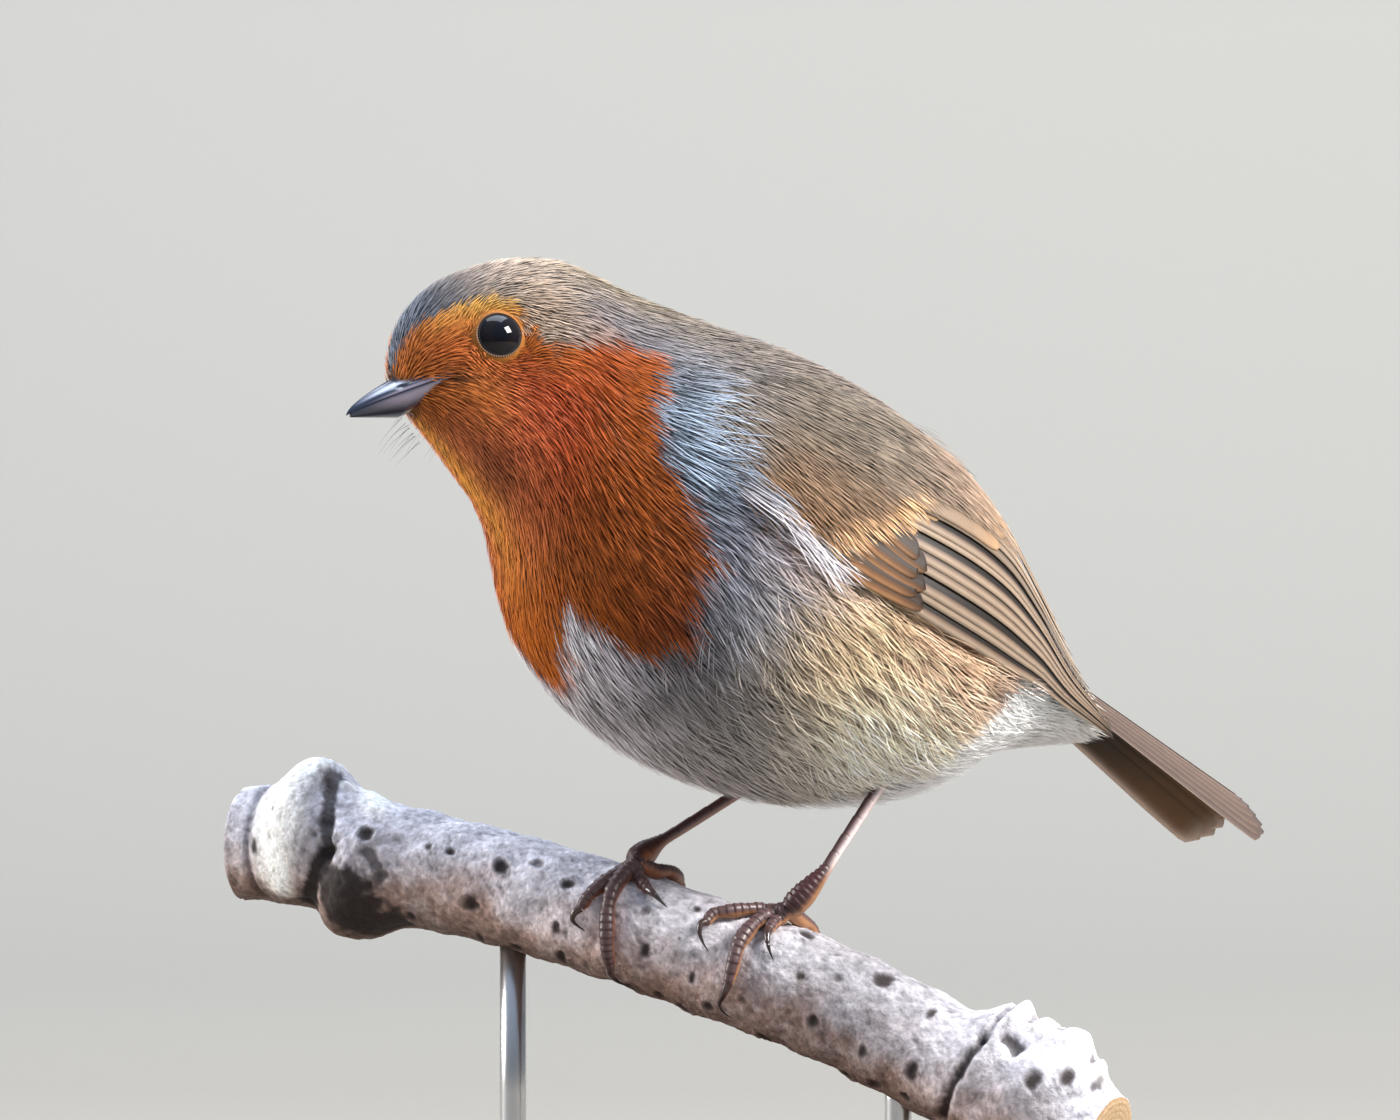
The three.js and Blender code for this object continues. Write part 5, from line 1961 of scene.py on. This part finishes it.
@dataclass(frozen=True)
class Leg:
    """A shank that broadens into a foot with crowded shields, four scaled toes over the perch, and claws."""

    side: Side
    foot: tuple[float, float, float]
    lean: tuple[float, float, float]
    palm: tuple[float, float, float]
    toes: tuple[Toe, ...]
    length: float = 24.0
    radius: float = 0.72
    wide: float = 1.6
    claw_radius: float = 0.5
    gloss: float = 1.0
    skin: Colour = (0.055, 0.02, 0.022)
    sole: Colour = (0.36, 0.17, 0.08)

    def scaled(self, shield: Array, top: Array, painted_highlight: Array, edge: float) -> Array:
        """The sole's colour below and the skin's above, pale under a painted highlight and dark between
        shields.
        """
        base = mix(mix(self.sole, self.skin, top), (0.85, 0.7, 0.71), painted_highlight)
        return mix(base, (0.03, 0.012, 0.012), 0.75 * ((1 - soft(shield, 0.0, edge)) * top))

    def on_bark(self, place: Array, stand_off: Array) -> Array:
        """Points at places (run, turn), standing off the bark."""
        run, turn = place[..., 0], place[..., 1]
        return PERCH.round(run, turn, PERCH.swollen(run, turn) + stand_off)

    def shank(self) -> Sheet:
        """A tube from the foot's middle up into the belly, whose shields step its front.

        Each shield is a slow rise and a sharp fall of the radius. They crowd towards the foot, where the
        tube bends down to the palm and broadens.

        Returns:
            The closed tube.
        """
        foot, lean = np.array(self.foot), unit(np.array(self.lean))
        palm = self.on_bark(np.array(self.palm[:2]), np.array(self.palm[2]))
        rise = np.array([0.12, 0.25, 0.4, 0.6, 0.8, 1.0])[:, None] * self.length
        knots = np.concatenate([palm[None], (palm + foot + lean)[None] / 2, foot + lean * rise])
        path = through(knots, np.linspace(0, 1, 180))
        run = np.concatenate([[0], np.cumsum(np.linalg.norm(np.diff(path, axis=0), axis=1))])
        swell = self.radius + (self.wide - self.radius) * (1 - soft(run, 2.0, 7.5))
        swell = swell - 0.35 * (1 - soft(run, 0, 1.2)) + 0.35 * soft(run, self.length - 3, self.length)
        sides = 32
        angle = circle(sides)
        front = soft(np.cos(angle), -0.3, 0.5)
        crowd, short, tall = 7, 0.75, 2.6
        shield = np.where(run < crowd, run / short, crowd / short + (run - crowd) / tall)[:, None] % 1
        step = np.where(run < crowd, 0.2, 0.07)[:, None]
        radii = swell[:, None] * (1 - 0.1 * np.sin(angle) ** 2) + step * (shield - 0.5) * front
        rings = sweep(path, radii, sides, np.array([-1.0, -0.3, 0.3]))
        # A painted highlight down one side of the shank, strong on the near leg.
        painted_highlight = self.gloss * bump(angle, 1.65, 0.8) * soft(run, 5, 9)[:, None]
        return closed(rings, self.scaled(shield, np.broadcast_to(front, painted_highlight.shape), 0.95 * painted_highlight, 0.14))

    def toe(self, toe: Toe) -> Sheet:
        """A scaled toe: its radius steps at each shield on top and swells in pads below.

        Args:
            toe: where it lies and how thick it is.

        Returns:
            The closed toe.
        """
        places = np.array(toe.path, float)
        count, sides, scale = 110, 24, 0.85
        s = np.linspace(0, 1, count)[:, None]
        start = self.on_bark(np.array(self.palm[:2]), np.array(self.palm[2]))
        knots = np.concatenate([start[None], self.on_bark(places, np.full(len(places), toe.radius))])
        path = through(knots, s[:, 0])
        length = np.linalg.norm(np.diff(path, axis=0), axis=1).sum()
        shape = through((1.15, 1.12, 1.0, 1.02, 0.95, 0.68), s[:, 0])[:, None]
        centre = PERCH.middle(path @ np.array(PERCH.heading))
        up = unit(path[count // 2] - centre[count // 2])
        angle = circle(sides)
        top, sole = soft(np.cos(angle), -0.35, 0.3), soft(-np.cos(angle), 0.0, 0.8)
        shield = (s * length / scale) % 1
        pads = bump(s, 0.3, 0.07) + bump(s, 0.6, 0.07) + bump(s, 0.9, 0.06)
        joint = bump(s, 0.45, 0.05) + bump(s, 0.76, 0.05)
        radii = toe.radius * shape * (1 + 0.16 * pads * sole - 0.1 * joint + 0.16 * (shield - 0.55) * top)
        rings = sweep(path, radii, sides, up)
        top = np.broadcast_to(top, (count, sides))
        # A faint painted highlight on the toes' tops.
        return closed(rings, self.scaled(shield, top, 0.05 * top, 0.22))

    def claw(self, toe: Toe) -> Sheet:
        """A horn that curls along its places, its radius falling to a point.

        Args:
            toe: the toe that it ends.

        Returns:
            The closed claw.
        """
        places = np.array(toe.claw, float)
        root = np.array(toe.path[-1])
        base = self.on_bark(root, np.array(toe.radius))
        knots = np.concatenate([base[None], self.on_bark(places[:, :2], places[:, 2])])
        count, sides = 40, 16
        s = np.linspace(0, 1, count)[:, None]
        path = through(knots, s[:, 0])
        up = unit(path[0] - path[-1] + 2 * (path[count // 2] - path[-1]))
        rings = sweep(path, self.claw_radius * (1.15 - 1.1 * s**0.9), sides, up)
        share = np.broadcast_to(np.clip(s * 1.4, 0, 1), rings.shape[:2])
        return closed(rings, mix((0.07, 0.035, 0.03), (0.012, 0.009, 0.01), share))

    def build(self) -> None:
        """Makes shank, foot and claws in place of their CAD nodes."""
        word = self.side.word
        shank = self.shank().build(f"shank_{word}", SCALES.material(), "leg_skin")
        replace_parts(shank, f"leg_{word}")
        toes = Sheet.joined([self.toe(toe) for toe in self.toes])
        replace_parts(toes.build(f"toes_{word}", SCALES.material(), "leg_skin"), f"foot_{word}")
        for k, toe in enumerate(self.toes, 1):
            claw = self.claw(toe).build(f"horn_{word}_{k}", CLAW.material(), "claw")
            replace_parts(claw, f"claw_{word}_{k}")


LEGS = (
    Leg(Side.LEFT, (6.5, -9, 48.9), (9.1, -0.5, 12.2), (5.9, 8, 1.9), (
        Toe(((6.6, -8), (7.1, -28), (7.4, -52), (7.4, -76)),
            ((7.2, -92, 1.5), (7.0, -106, 1.3), (7.1, -120, 0.6), (7.4, -130, 0.1)), 0.86),
        Toe(((3.4, 8), (2.4, 12), (1.1, 23), (0.0, 33), (-1.2, 42), (-1.4, 52)),
            ((-1.7, 57, 1.2), (-1.4, 64, 1.1), (-0.8, 70, 0.6), (0.0, 76, 0.15)), 0.82),
        Toe(((4.4, 10), (3.8, 24), (3.5, 41), (3.3, 58), (3.6, 76), (3.8, 96)),
            ((3.6, 106, 1.2), (3.2, 116, 1.1), (3.3, 127, 0.6), (4.1, 138, 0.15)), 0.92),
        Toe(((5.4, 14), (5.3, 24), (5.6, 38)),
            ((5.9, 44, 1.0), (6.4, 51, 0.9), (7.0, 57, 0.5), (7.7, 63, 0.15)), 0.78),
    )),
    # The far leg: the same skin and sole drawn darker, with a weaker painted highlight, as painted shade.
    Leg(Side.RIGHT, (-6.6, 9, 52.8), (13.9, 0.5, 7.2), (-12.6, 22, 1.9), (
        Toe(((-11.2, 10), (-10.4, -10), (-10.2, -35), (-10.2, -70)),
            ((-10.4, -86, 1.5), (-10.6, -100, 1.3), (-10.5, -114, 0.6), (-10.2, -124, 0.1)), 0.82),
        Toe(((-13.6, 27), (-14.5, 44), (-15.6, 64), (-16.2, 78)),
            ((-16.6, 84, 1.0), (-16.6, 90, 0.9), (-16.0, 94, 0.5), (-15.1, 98, 0.15)), 0.82),
        Toe(((-13.3, 34), (-13.4, 54), (-12.9, 74), (-12.1, 92), (-11.5, 107), (-11.0, 121)),
            ((-11.0, 129, 0.9), (-10.8, 137, 0.7), (-10.3, 145, 0.45), (-9.6, 152, 0.1)), 0.92),
        Toe(((-11.8, 29), (-10.8, 35), (-9.8, 40)),
            ((-9.1, 43, 0.9), (-8.4, 45, 0.7), (-7.6, 47, 0.4), (-6.8, 49, 0.15)), 0.74),
    ), gloss=0.15, skin=(0.04, 0.009, 0.009), sole=(0.24, 0.08, 0.035)),
)


@dataclass(frozen=True)
class Stand:
    """A turned wooden base with two steel rods up to the perch."""

    radius: float = 46.0
    height: float = 8.0
    rod_radius: float = 1.6
    rod_runs: tuple[float, float] = (-28.0, 22.0)

    def base(self) -> Sheet:
        """A turned profile carried round the upright: foot, bead, cove and a faintly domed top.

        Returns:
            The closed base.
        """
        profile = np.array([
            (0.5, 0), (20, 0), (44.4, 0), (45.6, 0.3), (46, 1.2), (46, 2.4), (45.6, 3.2), (44.6, 3.5),
            (44.3, 3.9), (44.6, 4.4), (44.9, 5.4), (44.5, 6.6), (43.6, 7.4), (42.2, 7.8), (40, 7.9),
            (30, 7.96), (12, 8), (0.5, 8),
        ])
        profile = profile * np.array([self.radius, self.height]) / profile.max(0)
        fine = through(profile, np.linspace(0, 1, 110))
        rings = fine[:, None, :1] * spokes(160) + fine[:, None, 1:] * np.array([0, 0, 1.0])
        rings[..., 2] = np.clip(rings[..., 2], 0, self.height)
        return closed(rings, np.broadcast_to((0.085, 0.042, 0.022), rings.shape))

    def rod(self, run: float) -> Sheet:
        """A round rod from inside the base to inside the perch, with a small collar on the base.

        Args:
            run: where it meets the perch, in millimetres along it.

        Returns:
            The closed rod.
        """
        top = PERCH.middle(np.array(run))
        z = np.array([4, 7.9, 7.95, 8.9, 9.3, 9.5, 9.55, 14, 24, top[2] - PERCH.radius + 3.5])
        wide = np.array([1.6, 1.6, 3.4, 3.4, 3.1, 2.2, 1.6, 1.6, 1.6, 1.6])
        wide = wide * self.rod_radius / wide.min()
        middle = np.stack([np.full(len(z), top[0]), np.full(len(z), top[1]), z], -1)
        rings = middle[:, None] + wide[:, None, None] * spokes(48)
        return closed(rings, np.broadcast_to((0.62, 0.62, 0.63), rings.shape))

    def build(self) -> None:
        """Makes the base and rods in place of their CAD nodes."""
        base = self.base().build("stand_base_turned", WOOD.material(), "stand_wood")
        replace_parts(base, "stand_base")
        for k, run in enumerate(self.rod_runs, 1):
            rod = self.rod(run).build(f"stand_rod_{k}_steel", STEEL.material(), "stand_steel")
            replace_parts(rod, f"stand_rod_{k}")


# ---- The studio ----


@dataclass(frozen=True)
class Lamp:
    """A square soft light: where it stands (mm), its width (mm), its power and its colour."""

    name: str
    place: tuple[float, float, float]
    width: float
    power: float
    colour: Colour = (1.0, 1.0, 1.0)


@dataclass(frozen=True)
class Studio:
    """A paper floor that sweeps up behind and grows paler there, soft lamps and the camera."""

    target: tuple[float, float, float] = (-3.7, 0.0, 88.0)
    distance: float = 1000.0
    azimuth: float = np.radians(-30)
    lens: float = 216.0
    lamps: tuple[Lamp, ...] = (
        Lamp("key", (700, -860, 945), 520, 44.0, (1.0, 0.96, 0.9)),
        Lamp("sky", (200, 300, 1350), 1100, 22.0, (0.75, 0.86, 1.0)),
        Lamp("rim", (-900, 600, 420), 500, 14.0, (1.0, 0.97, 0.92)),
    )

    def floor(self) -> None:
        """A floor, flat for its first share, that turns up along a quarter circle and on straight up."""
        rows, flat, bend, radius = 60, 0.45, 0.25, 700.0
        start, reach, high, half_width = -1500, 2250, 2500, 2500.0
        s = np.linspace(0, 1, rows)
        turned = np.clip((s - flat) / bend, 0, 1) * np.pi / 2
        back = np.array([np.sin(-self.azimuth), np.cos(self.azimuth)])
        along = start + np.minimum(s, flat) / flat * reach + radius * np.sin(turned)
        rise = radius * (1 - np.cos(turned)) + np.maximum(s - flat - bend, 0) * high
        across = np.array([-half_width, half_width])[None, :, None] * np.array([back[1], -back[0]])
        ground = along[:, None, None] * back + across
        points = np.concatenate([ground, np.broadcast_to(rise[:, None, None], (rows, 2, 1))], -1)
        sheet = Sheet(points.reshape(-1, 3), grid_faces(rows, 2)[:, ::-1])
        sheet.shown("floor", self.paper())

    def paper(self) -> bpy.types.Material:
        """A matt paper that grows paler from the object back and up.

        Returns:
            The material.
        """
        made = bpy.data.materials.new("floor_paper")
        made.use_nodes = True
        graph = Graph(made.node_tree)
        way = (0.5 * np.sin(-self.azimuth), 0.5 * np.cos(self.azimuth), 0.5)
        place = graph.add("TexCoord").outputs["Object"]
        far = graph.add("VectorMath", {0: place, 1: way}, operation="DOT_PRODUCT").outputs["Value"]
        colour = graph.ramp(far, ((0.2, (0.24, 0.222, 0.195)), (0.75, (0.4, 0.38, 0.345))))
        shader = graph.add("BsdfPrincipled", {"Base Color": colour, "Roughness": 0.9})
        graph.add("OutputMaterial", {"Surface": shader.outputs[0]})
        return made

    def aimed(self, name: str, data: bpy.types.ID, place: Vector, way: Vector) -> bpy.types.Object:
        """A lamp or camera in its place, facing a way.

        Args:
            name: its name.
            data: the lamp's or camera's settings.
            place: where it stands, in millimetres.
            way: where it faces.

        Returns:
            The new object.
        """
        made = added(name, data)
        made.location = place * MM
        made.rotation_mode = "QUATERNION"
        made.rotation_quaternion = way.to_track_quat("-Z", "Y")
        return made

    def lights(self) -> None:
        """The lamps, each facing the bird, and an even sky."""
        for lamp in self.lamps:
            data = bpy.data.lights.new(lamp.name, "AREA")
            data.shape = "SQUARE"
            data.size = lamp.width * MM
            data.energy = lamp.power
            data.color = lamp.colour
            place = Vector(lamp.place)
            self.aimed(lamp.name, data, place, Vector(self.target) - place)
        world = bpy.data.worlds.new("sky")
        world.use_nodes = True
        graph = Graph(world.node_tree)
        way = graph.add("SeparateXYZ", {0: graph.add("TexCoord").outputs["Generated"]}).outputs["Z"]
        high = graph.add("MapRange", {"Value": way, "From Min": -0.4, "From Max": 1.0}).outputs[0]
        colour = graph.ramp(high, ((0, (0.05, 0.05, 0.05)), (0.3, (0.25, 0.27, 0.3)), (1, (0.6, 0.75, 1.0))))
        sky = graph.add("Background", {"Color": colour, "Strength": 0.75})
        graph.add("OutputWorld", {"Surface": sky.outputs[0]})
        bpy.context.scene.world = world

    def camera(self) -> None:
        """The camera, level with the target and turned about the upright by the azimuth."""
        back = Vector((np.sin(self.azimuth), -np.cos(self.azimuth), 0))
        data = bpy.data.cameras.new("camera")
        data.lens, data.sensor_width = self.lens, 36.0
        data.clip_start, data.clip_end = 0.01, 20.0
        scene = bpy.context.scene
        scene.camera = self.aimed("camera", data, Vector(self.target) + back * self.distance, -back)
        scene.view_settings.view_transform = "Standard"

    def build(self) -> None:
        """Sets the studio up."""
        self.floor()
        self.lights()
        self.camera()


def main() -> None:
    """Builds the bird, its perch, the stand and the studio."""
    logging.basicConfig(level=logging.INFO, format="%(name)s: %(message)s")
    Studio().build()
    Stand().build()
    PERCH.build()
    for leg in LEGS:
        leg.build()
    BILL.build()
    for side in Side:
        Eye(side).build()
        Wing(side).build()
    Tail().build()
    Body().build()


if __name__ == "__main__":
    main()
